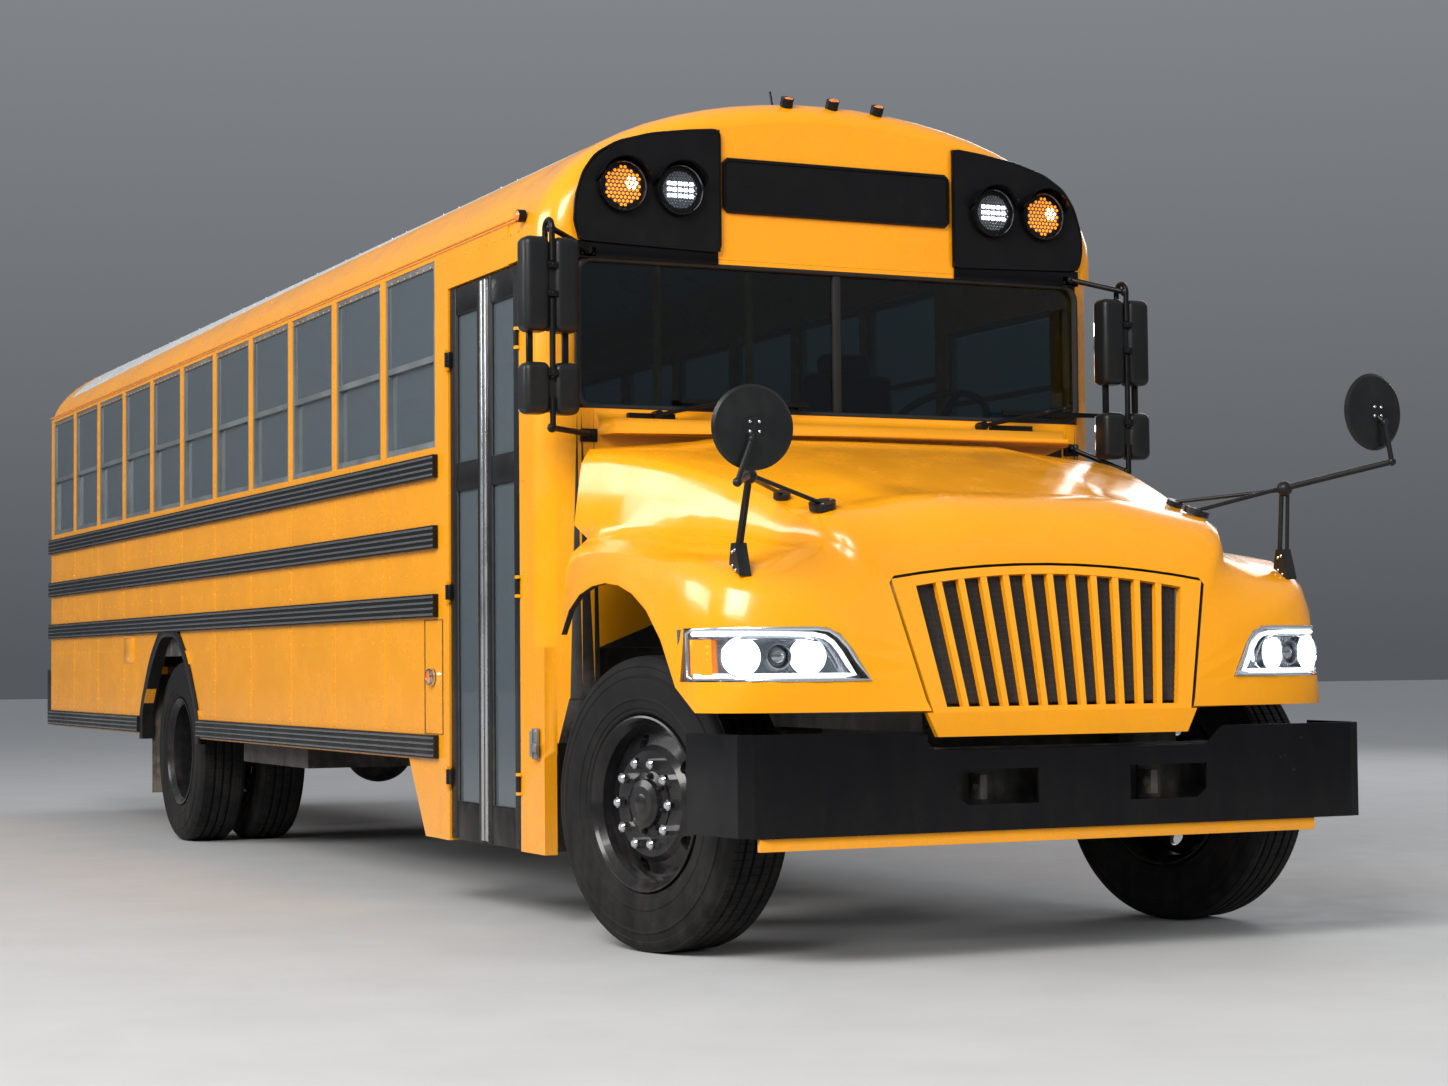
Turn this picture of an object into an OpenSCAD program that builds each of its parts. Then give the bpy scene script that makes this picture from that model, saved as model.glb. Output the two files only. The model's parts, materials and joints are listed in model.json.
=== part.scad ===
// School bus with a tilting hood, steered front wheels and opening doors and hatches.
// Millimetres. +X is forward, +Y is the driver's left, +Z is up.
// The ground is Z = 0 and the origin is the middle of the bus's length and width.
// Inside the modules X is a station: 0 is over the front axle, and minus is rearward.

/* [Body] */
// Width over the side panels
body_w = 2438; // [2200:1:2600]
// Distance between the front and rear axles
wheelbase = 6600; // [5600:10:7600]
// Number of passenger windows on each side
bays = 11; // [9:1:12]
// Length of body taken by one passenger window
bay = 731; // [640:1:800]
// Thickness of the side, front and rear walls
wall_t = 50; // [35:1:70]
// Height of the bottom edge of the side panels
skirt_z = 590; // [500:1:700]
// Height of the cabin floor
floor_z = 1180; // [1120:1:1230]
// Height of the window sills
sill_z = 1887; // [1780:1:1950]
// Height of the window openings
window_h = 776; // [650:1:790]
// Height where the side walls end and the roof begins
eaves_z = 2680; // [2600:1:2760]
// Rise of the roof above its widest line
roof_rise = 565; // [480:1:620]
// Thickness of the roof
roof_t = 55; // [40:1:80]

/* [Windows] */
// Width of the pillar between two windows
pillar_w = 70; // [50:1:120]
// Width of a window's metal frame
frame_w = 26; // [18:1:40]
// Thickness of the window glass
glass_t = 6; // [4:1:10]
// Share of the window's height below the sash bar
sash_share = 0.48; // [0.3:0.01:0.7]

/* [Entrance] */
// Width of the doorway
door_w = 813; // [700:1:950]
// Height of the doorway's lower edge
door_z = 276; // [230:1:340]
// Height of the doorway's upper edge
door_top = 2524; // [2400:1:2560]
// Thickness of a door leaf
door_t = 36; // [28:1:50]
// Gap round a door leaf
door_gap = 6; // [4:1:12]
// Depth of one entrance step
step_d = 236; // [200:1:240]

/* [Front end] */
// Station of the windshield's outside face
face_x = -750; // [-820:1:-700]
// Height of the windshield's lower edge
screen_z = 1940; // [1880:1:2000]
// Height of the windshield's upper edge
screen_top = 2510; // [2400:1:2540]
// Half width of the windshield
screen_half = 1100; // [980:1:1150]
// Station of the hood's rear edge
hood_rear = -630; // [-680:1:-560]
// Station where the hood turns into the nose
hood_turn = 440; // [380:1:520]
// Station of the grille's lower edge
grille_x = 853; // [800:1:900]
// Height of the hood's centre line at the rear
hood_top_rear = 1832; // [1700:1:1870]
// Height of the hood's centre line at the nose
hood_top_front = 1572; // [1500:1:1640]
// Half width over the front fenders
fender_half = 1246; // [1200:1:1290]
// Height of the fenders' crown
crown_z = 1440; // [1340:1:1500]
// Thickness of the hood's skin
hood_t = 22; // [12:1:40]
// Station of the front bumper's face
bumper_x = 905; // [880:1:960]
// Height of the front bumper's lower edge
bumper_z = 430; // [380:1:480]
// Height of the front bumper's upper edge
bumper_top = 757; // [700:1:790]

/* [Grille] */
// Height of the grille's lower edge
grille_z = 812; // [780:1:850]
// Height of the grille up its slope
grille_h = 450; // [380:1:500]
// Half width of the grille at the bottom
grille_low_half = 505; // [440:1:560]
// Half width of the grille at the top
grille_top_half = 613; // [540:1:660]
// Rise of the grille's arched top
grille_arch = 50; // [20:1:80]
// Lean of the grille, in degrees
grille_lean = 10.5; // [5:0.5:16]
// Number of grille bars
grille_bars = 11; // [7:1:15]

/* [Wheels] */
// Radius of the tyres
tyre_r = 506; // [470:1:540]
// Width of a tyre
tyre_w = 276; // [240:1:300]
// Outside radius of the rims
rim_r = 298; // [270:1:310]
// Half of the front track
front_half_track = 1094; // [1060:1:1110]
// Half the distance between the kingpins
kingpin_y = 880; // [840:1:900]
// Steering angle at rest, in degrees, positive to the left
rest_steer = 13.3; // [0:0.1:20]
// Half distance to the middle of the outer rear tyre
rear_outer_y = 1050; // [1020:1:1070]
// Distance between the middles of the twin rear tyres
twin_gap = 340; // [320:1:360]
// Number of wheel nuts
nuts = 10; // [6:1:12]
// Radius of the wheel nut circle
nut_ring = 142.9; // [120:0.1:170]

/* [Mirrors and lamps] */
// Diameter of the round mirrors on the hood
round_mirror_d = 272; // [220:1:320]
// Half distance between the round mirrors
round_mirror_y = 1212; // [1150:1:1260]
// Radius of a warning lamp
warning_r = 88; // [70:1:100]

/* [Seats] */
// Width of a passenger bench
bench_w = 960; // [860:1:990]
// Height of a seat back above the floor
bench_h = 940; // [800:1:1050]

/* [Which part to draw] */
// Sub-part to draw, or all

/* [Hidden] */
$fn = 64;
hw = body_w / 2;
wall_front = -1998;
side_rear = wall_front - bays * bay;
rear_x = side_rear - 40;
bumper_back = rear_x - 215;
mirror_front = grille_x + 200;
shift = -(mirror_front + bumper_back) / 2;
window_top = sill_z + window_h;
window_w = bay - pillar_w;
door_front = -1057;
door_rear = door_front - door_w;
cowl_rear = door_front;
rail_half = 430;
rail_top = 985;
rail_low = 745;
roof_base = 2620;
cap_len = 420;
cap_rear = face_x - cap_len;
cap_low = door_top + 4;
cap_round = 150;
cap_inset = 100;
pillar_round = 180;
tow_shift = 38;
foot_z = 1240;
rear_axle_x = -wheelbase;
arch_x = rear_axle_x - 75;
arch_top = 1160;
arch_half_top = 170;
arch_half_low = 640;
seat_gap = 8;
aisle_half = hw - wall_t - seat_gap - bench_w;
first_seat = wall_front - 130;
wall_inner_steps = hw - wall_t - 2.5 * step_d;
hinge_zs = [500, 1250, 2200];
rear_hinge_zs = [1400, 1800, 2400];
tow_r = 19;
tow_front_x = 845;
tow_front_z = 570;
tow_rear_x = rear_x + 130;
tow_rear_z = 565;
hood_pivot_x = 800;
hood_pivot_z = 780;

function mix(a, b, t) = a + (b - a) * t;
function clamp01(t) = min(1, max(0, t));
// Half width of the roof at height z, for an ellipse shrunk by d.
function roof_half(z, d) = (hw - d) * sqrt(max(0, 1 - pow((z - roof_base) / (roof_rise - d), 2)));
function roof_z(y, d) = roof_base + (roof_rise - d) * sqrt(max(0, 1 - pow(y / (hw - d), 2)));
// Roof outline from the right eaves over the top to the left eaves, shrunk by d.
function roof_arc(d, z0, n = 28) = let (a0 = asin((z0 - roof_base) / (roof_rise - d)))
    [for (i = [0:n]) let (a = mix(a0, 180 - a0, i / n))
        [-(hw - d) * cos(a), roof_base + (roof_rise - d) * sin(a)]];
function rev(v) = [for (i = [len(v) - 1:-1:0]) v[i]];
function neg_y(v) = [for (p = v) [-p[0], p[1]]];

module bx(x0, x1, y0, y1, z0, z1) {
    translate([min(x0, x1), min(y0, y1), min(z0, z1)])
        cube([abs(x1 - x0), abs(y1 - y0), abs(z1 - z0)]);
}
// A YZ outline drawn out along X.
module along_x(x0, x1, pts) {
    translate([x0, 0, 0]) rotate([90, 0, 90]) linear_extrude(x1 - x0) polygon(pts);
}
// An XZ outline drawn out along Y.
module along_y(y0, y1, pts) {
    translate([0, y1, 0]) rotate([90, 0, 0]) linear_extrude(y1 - y0) polygon(pts);
}
module rod_x(x0, x1, y, z, r) {
    translate([x0, y, z]) rotate([0, 90, 0]) cylinder(h = x1 - x0, r = r);
}
module rod_y(x, y0, y1, z, r) {
    translate([x, y0, z]) rotate([-90, 0, 0]) cylinder(h = y1 - y0, r = r);
}
module rod_z(x, y, z0, z1, r) {
    translate([x, y, z0]) cylinder(h = z1 - z0, r = r);
}
// A round bar from point a to point b.
module bar(a, b, r) {
    d = b - a;
    l = norm(d);
    translate(a) rotate([0, acos(d[2] / l), atan2(d[1], d[0])]) cylinder(h = l, r = r);
}
module both_sides() {
    children();
    mirror([0, 1, 0]) children();
}
module placed() {
    translate([shift, 0, 0]) children();
}

// ---------------------------------------------------------------- chassis
function cross_x(i) = mix(450, rear_x + 200, i / 8);
module chassis_frame() {
    color([0.06, 0.06, 0.065]) placed() union() {
        both_sides() difference() {
            bx(rear_x + 60, 640, rail_half - 80, rail_half, rail_low, rail_top);
            bx(rear_x + 50, 650, rail_half - 90, rail_half - 12, rail_low + 12, rail_top - 12);
        }
        for (i = [0:8]) {
            x = cross_x(i);
            bx(x, x + 90, 12 - rail_half, rail_half - 12, rail_low + 50, rail_low + 190);
        }
        both_sides() bx(560, 800, rail_half - 110, rail_half - 20, 500, 670);
        both_sides() bx(560, 640, rail_half - 78, rail_half - 20, 600, rail_low + 20);
        for (i = [0:bays + 3]) {
            x = mix(cowl_rear - 1000, rear_x + 160, i / (bays + 3));
            w = abs(x + 30 - rear_axle_x) < tyre_r + 90 ? rail_half + 90 : hw - 200;
            bx(x, x + 60, -w, w, rail_top, rail_top + 60);
        }
        bx(-1010, -950, -rail_half, rail_half, rail_top, rail_top + 60);
        // tow eyes behind the front bumper's openings and under the rear end
        both_sides() difference() {
            bx(799, 875, rail_half - 108, rail_half - 83, 530, 610);
            rod_y(tow_front_x, rail_half - 110, rail_half - 80, tow_front_z, tow_r);
        }
        both_sides() difference() {
            union() {
                bx(rear_x + 70, rear_x + 190, rail_half - 13, rail_half + 12, 520, rail_low + 60);
            }
            rod_y(tow_rear_x, rail_half - 20, rail_half + 20, tow_rear_z, tow_r);
        }
    }
}

module engine_block() {
    color([0.16, 0.16, 0.17]) placed() union() {
        difference() {
            bx(-540, 420, -330, 330, 620, 1480);
            bx(-560, 430, -340, -200, 600, 760);
            bx(-560, 430, 200, 340, 600, 760);
        }
        bx(560, 690, -345, 345, rail_low + 30, 1000);
        bx(560, 690, -430, 430, rail_top + 5, 1230);
        bx(419, 561, -120, 120, 945, 1100);
        bx(-500, -100, rail_half - 12.3, 320, 800, 900);
        bx(-500, -100, -320, 12.3 - rail_half, 800, 900);
        bx(500, 561, -rail_half, rail_half, rail_top + 0.3, rail_top + 50);
    }
}

// ---------------------------------------------------------------- body shell
module floor() {
    color([0.10, 0.10, 0.11]) placed() union() {
        difference() {
            translate([0, 0, rail_top + 60]) linear_extrude(floor_z - rail_top - 60)
                polygon(front_plan(rear_x + wall_t + 1, wall_t + 1));
            bx(door_rear, door_front + 1, -hw, 3 * step_d - hw + wall_t, floor_z - 500, floor_z + 1);
        }
        // entrance steps and the sides of the step well
        for (i = [0:2])
            bx(door_rear - 20, door_front + 20, wall_t + i * step_d - hw + 1, 3 * step_d - hw + wall_t + 20,
               mix(door_z + 24, floor_z, i / 3) - 30, mix(door_z + 24, floor_z, i / 3));
        for (i = [0:2])
            bx(door_rear - 20, door_front + 20, wall_t + (i + 1) * step_d - hw - 10, wall_t + (i + 1) * step_d - hw + 10,
               mix(door_z + 24, floor_z, i / 3) - 15, mix(door_z + 24, floor_z, (i + 1) / 3));
        for (x = [door_rear - 20, door_front])
            difference() {
                bx(x, x + 20, wall_t - hw + 1, 3 * step_d - hw + wall_t + 20, door_z - 6, floor_z);
                bx(x - 1, x + 21, wall_t + step_d - hw + 40, 3 * step_d - hw + wall_t + 30, door_z - 10, mix(door_z, floor_z, 1 / 3) - 20);
                bx(x - 1, x + 21, wall_t + 2 * step_d - hw + 40, 3 * step_d - hw + wall_t + 30, door_z - 10, mix(door_z, floor_z, 2 / 3) - 20);
            }
    }
}

module arch_cut(y0, y1, grow) {
    along_y(y0, y1, [
        [arch_x - arch_half_low - grow, skirt_z - 200],
        [arch_x - arch_half_low - grow, skirt_z + 130],
        [arch_x - arch_half_top - 230 - grow * 0.8, arch_top - 160 + grow * 0.6],
        [arch_x - arch_half_top, arch_top + grow],
        [arch_x + arch_half_top, arch_top + grow],
        [arch_x + arch_half_top + 230 + grow * 0.8, arch_top - 160 + grow * 0.6],
        [arch_x + arch_half_low + grow, skirt_z + 130],
        [arch_x + arch_half_low + grow, skirt_z - 200]]);
}
module window_cuts() {
    for (i = [0:bays - 1])
        bx(wall_front - i * bay - pillar_w / 2, wall_front - (i + 1) * bay + pillar_w / 2,
           -1, wall_t + 2, sill_z, window_top);
}
module wall_plate() {
    difference() {
        bx(rear_x + wall_t + 0.5, wall_front, 0, wall_t, skirt_z, eaves_z);
        window_cuts();
        arch_cut(-1, wall_t + 1, 0);
    }
}
// Black polygonal trim round the rear wheel arch.
module arch_trim() {
    intersection() {
        difference() {
            arch_cut(0, 8, 66);
            arch_cut(-1, 9, 0);
        }
        bx(arch_x - 900, arch_x + 900, -1, 10, skirt_z, rail_zs[2] - 1);
    }
}
module side_wall_right() {
    color([0.93, 0.55, 0.03]) placed() union() {
        translate([0, -hw, 0]) wall_plate();
        // post and slanted foot behind the doorway
        bx(wall_front, door_rear, -hw, wall_t - hw, door_z - 4, eaves_z);
        along_y(-hw, wall_t - hw, [[door_rear, door_z - 3], [door_rear - 300, door_z - 3],
            [door_rear - 517, skirt_z], [door_rear, skirt_z + 1]]);
        // header over the doorway and the panel ahead of it
        bx(cap_rear, wall_front - 1, -hw, wall_t - hw, door_top, eaves_z);
        // hinge lugs for the rear door leaf
        for (z = hinge_zs) hinge_lugs(door_rear + 4, z, -1);
        translate([0, -hw - 8, 0]) arch_trim();
    }
}
module side_wall_left() {
    color([0.93, 0.55, 0.03]) placed() union() {
        translate([0, hw - wall_t, 0]) wall_plate();
        difference() {
            bx(wall_front - 1, door_front, hw - wall_t, hw, skirt_z, door_top);
            bx(wall_front + 60, door_front - 10, hw - wall_t - 1, hw + 1, sill_z - 60, door_top - 70);
        }
        bx(cap_rear, wall_front - 1, hw - wall_t, hw, door_top - 1, eaves_z);
        translate([0, hw, 0]) arch_trim();
        // lugs the stop sign's arm turns between
        for (z = [1285, 1440.3]) bx(wall_front - 80, wall_front - 40, hw - 1, hw + 70, z, z + 15);
    }
}

module roof() {
    color([0.90, 0.90, 0.88]) placed() union() {
        difference() {
            along_x(rear_x + wall_t + 0.5, cap_rear,
                concat(roof_arc(0, eaves_z), rev(roof_arc(roof_t, eaves_z))));
            for (x = [hatch_x(0), hatch_x(1)])
                bx(x - 300, x + 300, -300, 300, roof_base, roof_base + roof_rise + 100);
        }
        // lugs the roof hatches turn between
        both_sides() for (x = [hatch_x(0), hatch_x(1)]) for (y = [156, 228.3])
            bx(x + 332, x + 350, y, y + 15.7, roof_base + roof_rise - 40, roof_base + roof_rise + 16);
    }
}
function hatch_x(i) = wall_front - (i == 0 ? 2.5 : bays - 2.5) * bay;

// Outline of the front cap, with upright sides below the roof's widest line.
function cap_arc(d) = concat([[d - hw, cap_low]], roof_arc(d, roof_base), [[hw - d, cap_low]]);
function cap_row(u, d) = let (x = face_x - cap_round + cap_round * sin(u), k = cap_inset * (1 - cos(u)))
    [for (p = cap_arc(k + d)) [x - d * sin(u), p[0], p[1]]];
function cap_rows(d) = concat([[for (p = cap_arc(d)) [cap_rear + 0.5, p[0], p[1]]]],
    [for (i = [0:6]) cap_row(i * 15, d)]);
module front_cap() {
    color([0.93, 0.55, 0.03]) placed() union() {
        solid_between(cap_rows(0), cap_rows(45));
        along_x(face_x - 44, face_x - 0.5, cap_arc(cap_inset + 3));
    }
}

// Plan of the body's front corners and face, d inside the outer skin.
function corner_plan(x0, d) = concat([[x0, hw - d]],
    [for (i = [0:6]) [face_x - pillar_round + (pillar_round - d) * sin(i * 15), hw - pillar_round + (pillar_round - d) * cos(i * 15)]]);
function front_plan(x0, d) = concat(corner_plan(x0, d), [for (p = rev(corner_plan(x0, d))) [p[0], -p[1]]]);
module cowl_skin(z0, z1) {
    translate([0, 0, z0]) linear_extrude(z1 - z0)
        polygon(concat(front_plan(door_front + 0.5, 0), rev(front_plan(door_front + 0.5, wall_t))));
}
// Front edge of the panels behind the front wheels.
module cowl_arch(y0, y1) {
    along_y(y0, y1, [[-807, 0], [-812, 628], [-777, 851], [-700, 1030], [-600, 1160], [100, 1160], [100, 0]]);
}
module cowl() {
    color([0.93, 0.55, 0.03]) placed() difference() {
        union() {
            cowl_skin(rail_top + 61, door_top + 3);
            // side panels down to the doorway's sill and the skirt
            difference() {
                union() {
                    bx(door_front + 0.5, -807, -hw, wall_t - hw, door_z, rail_top + 62);
                    bx(door_front + 0.5, -807, hw - wall_t, hw, skirt_z, rail_top + 62);
                    cowl_skin(skirt_z + 100, rail_top + 62);
                }
                bx(-1000, face_x + 10, 200 - hw, hw - 200, skirt_z, rail_top + 61);
            }
            // ledge under the windshield
            translate([0, 0, screen_z - 70]) linear_extrude(30) polygon([[face_x - 20, 1022], [face_x + 70, 980], [face_x + 70, -980], [face_x - 20, -1022]]);
            translate([0, 0, screen_z - 100]) linear_extrude(31) polygon([[face_x - 20, 1024], [face_x + 95, 990], [face_x + 95, -990], [face_x - 20, -1024]]);
            // hinge lugs for the front door leaf
            for (z = hinge_zs) hinge_lugs(door_front - 4, z, 1);
        }
        bx(face_x - 200, face_x + 1, -screen_half, screen_half, screen_z, screen_top);
        cowl_arch(-hw - 1, 200 - hw);
        cowl_arch(hw - 200, hw + 1);
    }
}
// Lugs above and below a hinge barrel outside the right side; s is the side the post is on.
module hinge_lugs(x, z, s) {
    for (k = [z - 12, z + 60.3]) bx(x - 9 * s, x + 16 * s, -hw - 16, 1 - hw, k, k + 11.7);
}
module hinge_barrel(x, z, s) {
    rod_z(x, -hw - 8, z, z + 60, 8);
    bx(x - 24 * s, x - 4 * s, -hw - 8, 8 - hw, z, z + 60);
}
module windshield() {
    color([0.12, 0.16, 0.18, 0.6]) placed() union() {
        bx(face_x - 30, face_x - 30 + glass_t, 0.5 - screen_half, screen_half - 0.5, screen_z + 0.5, screen_top - 0.5);
        bx(face_x - 34, face_x - 12, -25, 25, screen_z + 0.5, screen_top - 0.5);
    }
}

module rear_wall() {
    h = concat([[-hw, skirt_z], [-hw, eaves_z]], roof_arc(0, eaves_z + 1), [[hw, eaves_z], [hw, skirt_z]]);
    color([0.93, 0.55, 0.03]) placed() union() {
        // lugs the rear door's hinges turn between
        for (z = rear_hinge_zs) for (k = [z - 15, z + 80.3])
            bx(rear_x - 18, rear_x + 1, -rear_door_half() - 14, 12 - rear_door_half(), k, k + 14.7);
        difference() {
        along_x(rear_x, rear_x + wall_t, h);
        bx(rear_x - 1, rear_x + wall_t + 1, -rear_door_half(), rear_door_half(), rear_door_z(), rear_door_top());
        both_sides() bx(rear_x - 1, rear_x + wall_t + 1, rear_door_half() + 110, hw - 130, sill_z + 30, window_top - 40);
        }
    }
}
function rear_door_half() = 350;
function rear_door_z() = floor_z + 10;
function rear_door_top() = window_top + 20;

module window_frame(x0, x1, z0, z1, split) {
    difference() {
        bx(x0, x1, 0, 34, z0, z1);
        bx(x0 - frame_w, x1 + frame_w, -1, 35, z0 + frame_w, mix(z0, z1, sash_share) - frame_w / 2);
        bx(x0 - frame_w, x1 + frame_w, -1, 35, mix(z0, z1, sash_share) + frame_w / 2, z1 - frame_w);
    }
}
module frames_one_side() {
    for (i = [0:bays - 1])
        window_frame(wall_front - i * bay - pillar_w / 2 - 0.5, wall_front - (i + 1) * bay + pillar_w / 2 + 0.5,
                     sill_z + 0.5, window_top - 0.5);
}
module panes_one_side() {
    for (i = [0:bays - 1]) {
        x0 = wall_front - i * bay - pillar_w / 2 - frame_w - 1;
        x1 = wall_front - (i + 1) * bay + pillar_w / 2 + frame_w + 1;
        zm = mix(sill_z, window_top, sash_share);
        bx(x0, x1, 20, 20 + glass_t, sill_z + frame_w + 1, zm - frame_w / 2 - 1);
        bx(x0, x1, 8, 8 + glass_t, zm + frame_w / 2 + 1, window_top - frame_w - 1);
    }
}
module window_frames_right() {
    color([0.62, 0.64, 0.66]) placed() translate([0, 4 - hw, 0]) frames_one_side();
}
module window_frames_left() {
    color([0.62, 0.64, 0.66]) placed() union() {
        translate([0, hw - 4, 0]) mirror([0, 1, 0]) frames_one_side();
        translate([0, hw - 4, 0]) mirror([0, 1, 0])
            window_frame(door_front - 10.5, wall_front + 60.5, sill_z - 59.5, door_top - 70.5);
    }
}
// Fixed pane in the rear wall beside the rear door.
module rear_pane() {
    bx(rear_x + 20, rear_x + 20 + glass_t, rear_door_half() + 110.5, hw - 130.5, sill_z + 30.5, window_top - 40.5);
}
module window_glass_right() {
    color([0.10, 0.13, 0.15, 0.6]) placed() {
        translate([0, 4 - hw, 0]) panes_one_side();
        mirror([0, 1, 0]) rear_pane();
    }
}
module window_glass_left() {
    zm = mix(sill_z - 59.5, door_top - 70.5, sash_share);
    color([0.10, 0.13, 0.15, 0.6]) placed() union() {
        rear_pane();
        translate([0, hw - 4, 0]) mirror([0, 1, 0]) panes_one_side();
        translate([0, hw - 4, 0]) mirror([0, 1, 0]) {
            bx(door_front - 11 - frame_w, wall_front + 61 + frame_w, 20, 20 + glass_t, sill_z - 58 + frame_w, zm - frame_w / 2 - 1);
            bx(door_front - 11 - frame_w, wall_front + 61 + frame_w, 8, 8 + glass_t, zm + frame_w / 2 + 1, door_top - 72 - frame_w);
        }
    }
}

rail_zs = [1758, 1465, 1181];
rail_h = 96;
rail_out = 22;
module rub_rails() {
    color([0.03, 0.03, 0.032]) placed() both_sides() {
        for (z = rail_zs)
            bx(rear_x + 4, wall_front - 4, -hw - rail_out, -hw - 0.3, z, z + rail_h);
        bx(arch_x + arch_half_low + 70, wall_front - 4, -hw - rail_out, -hw - 0.3, skirt_z + 9, skirt_z + 9 + rail_h);
        bx(rear_x + 4, arch_x - arch_half_low - 70, -hw - rail_out, -hw - 0.3, skirt_z + 9, skirt_z + 9 + rail_h);
    }
}

// ---------------------------------------------------------------- bumpers
module bumper_shape(d) {
    linear_extrude(bumper_top - bumper_z) polygon(concat(
        [[530, 1250 - d], [840 - d * 0.5, 1212 - d], [bumper_x - 12 - d * 0.8, 1178 - d * 0.8], [bumper_x - d, 1140 - d * 0.4]],
        [[bumper_x - d, d * 0.4 - 1140], [bumper_x - 12 - d * 0.8, d * 0.8 - 1178], [840 - d * 0.5, d - 1212], [530, d - 1250]],
        []));
}
module front_bumper() {
    color([0.02, 0.02, 0.022]) placed() union() {
        difference() {
            translate([0, 0, bumper_z]) bumper_shape(0);
            translate([0, 0, bumper_z - 1]) scale([1, 1, 1.01]) bumper_shape(12);
            bx(520, 531, -1300, 1300, bumper_z - 1, bumper_top + 1);
            // dip in the middle of the upper edge
            along_x(bumper_x - 100, bumper_x + 10, [[-600, bumper_top + 1], [-530, bumper_top - 63], [530, bumper_top - 63], [600, bumper_top + 1]]);
            // tow openings
            for (m = [0, 1]) translate([0, tow_shift, 0]) mirror([0, m, 0]) along_x(bumper_x - 60, bumper_x + 10,
                [[180, bumper_z + 85], [450, bumper_z + 85], [490, bumper_z + 115], [490, bumper_z + 200], [180, bumper_z + 200]]);
        }
        // upper and lower flanges
        for (z = [bumper_z, bumper_top - 75])
            difference() {
                translate([0, 0, z]) linear_extrude(12) polygon([[780, -1150], [bumper_x - 6, -1130], [bumper_x - 6, 1130], [780, 1150]]);
                if (z > bumper_z) both_sides() bx(700, bumper_x + 10, 600, 1200, z - 1, z + 13);
            }
        // brackets that carry it on the frame
        both_sides() bx(800, bumper_x - 6, rail_half - 110, rail_half - 20, 505, 505 + 9);
        // reflective strip along the lower edge
        bx(bumper_x - 30, bumper_x - 12, -1160, 985, bumper_z - 42, bumper_z + 1);
    }
}
module rear_bumper() {
    color([0.02, 0.02, 0.022]) placed() difference() {
        translate([0, 0, 608]) linear_extrude(360) polygon([
            [rear_x - 0.5, 1215], [rear_x - 150, 1215], [rear_x - 215, 1150], [rear_x - 215, -1150],
            [rear_x - 150, -1215], [rear_x - 0.5, -1215]]);
        translate([0, 0, 600]) linear_extrude(400) polygon([
            [rear_x + 1, 1190], [rear_x - 140, 1190], [rear_x - 195, 1140], [rear_x - 195, -1140],
            [rear_x - 140, -1190], [rear_x + 1, -1190]]);
    }
}

// ---------------------------------------------------------------- axles
module front_axle() {
    color([0.07, 0.07, 0.075]) placed() difference() {
        union() {
            bx(-50, 50, -600, 600, 400, 480);
            both_sides() hull() {
                bx(-50, 50, 560, 600, 400, 480);
                bx(-35, 35, kingpin_y - 50, kingpin_y - 45, 440, 540);
            }
            both_sides() rod_z(0, kingpin_y, 430, 560, 46);
            // leaf springs and their hangers
            both_sides() bx(-600, 540, rail_half - 70, rail_half + 6, 482, 520);
            both_sides() bx(-45, 45, rail_half - 70, rail_half + 6, 470, 540);
            both_sides() bx(-640, -560, rail_half - 70, rail_half - 1, 480, rail_low - 0.3);
            both_sides() bx(500, 555, rail_half - 70, rail_half - 30, 482, 590);
        }
        both_sides() rod_z(0, kingpin_y, 420, 570, 24.3);
    }
}
module rear_axle() {
    color([0.07, 0.07, 0.075]) placed() union() {
        rod_y(rear_axle_x, -rear_hub(), rear_hub(), tyre_r, 62);
        translate([rear_axle_x, 0, tyre_r]) sphere(r = 205);
        rod_x(rear_axle_x + 150, rear_axle_x + 330, 0, tyre_r + 20, 85);
        both_sides() bx(rear_axle_x - 720, rear_axle_x + 700, rail_half - 75, rail_half + 5, 580, 640);
        both_sides() bx(rear_axle_x - 80, rear_axle_x + 80, rail_half - 75, rail_half + 5, 540, 660);
        both_sides() bx(rear_axle_x - 740, rear_axle_x - 640, rail_half - 75, rail_half - 1, 600, rail_low - 0.3);
        both_sides() bx(rear_axle_x + 620, rear_axle_x + 720, rail_half - 75, rail_half - 1, 600, rail_low - 0.3);
    }
}
function rear_hub() = rear_outer_y - 60;
module driveshaft() {
    color([0.10, 0.10, 0.105]) placed() union() {
        bar([-543, 0, 690], [cross_x(3) + 45, 0, 640], 55);
        bar([cross_x(3) + 46, 0, 640], [rear_axle_x + 334, 0, tyre_r + 20], 54);
        bx(cross_x(3) + 5, cross_x(3) + 85, -90, 90, 575, rail_low + 49.7);
    }
}
module fuel_tank() {
    color([0.12, 0.12, 0.125]) placed() union() {
        bx(-5500, -4300, -1100, -500, 480, 880);
        for (x = [-5300, -4550]) bx(x, x + 60, -501, 0.3 - rail_half - 0.6, 760, 860);
    }
}
module exhaust() {
    color([0.25, 0.22, 0.20]) placed() union() {
        rod_x(-4200, -3300, 640, 640, 130);
        bar([-600, 480, 780], [-3310, 640, 640], 50);
        bar([-4190, 640, 640], [-5600, 560, 640], 50);
        for (x = [-4000, -3500]) bx(x, x + 40, rail_half + 0.3, 620, 740, 800);
    }
}
module mud_flaps() {
    color([0.03, 0.03, 0.03]) placed() both_sides() {
        bx(arch_x - arch_half_low - 34, arch_x - arch_half_low - 22, 560, hw - wall_t - 10, 240, 900);
        bx(arch_x - arch_half_low - 40, arch_x - arch_half_low - 10, rail_half + 0.3, hw - wall_t - 10, 890, 940);
    }
}

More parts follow.
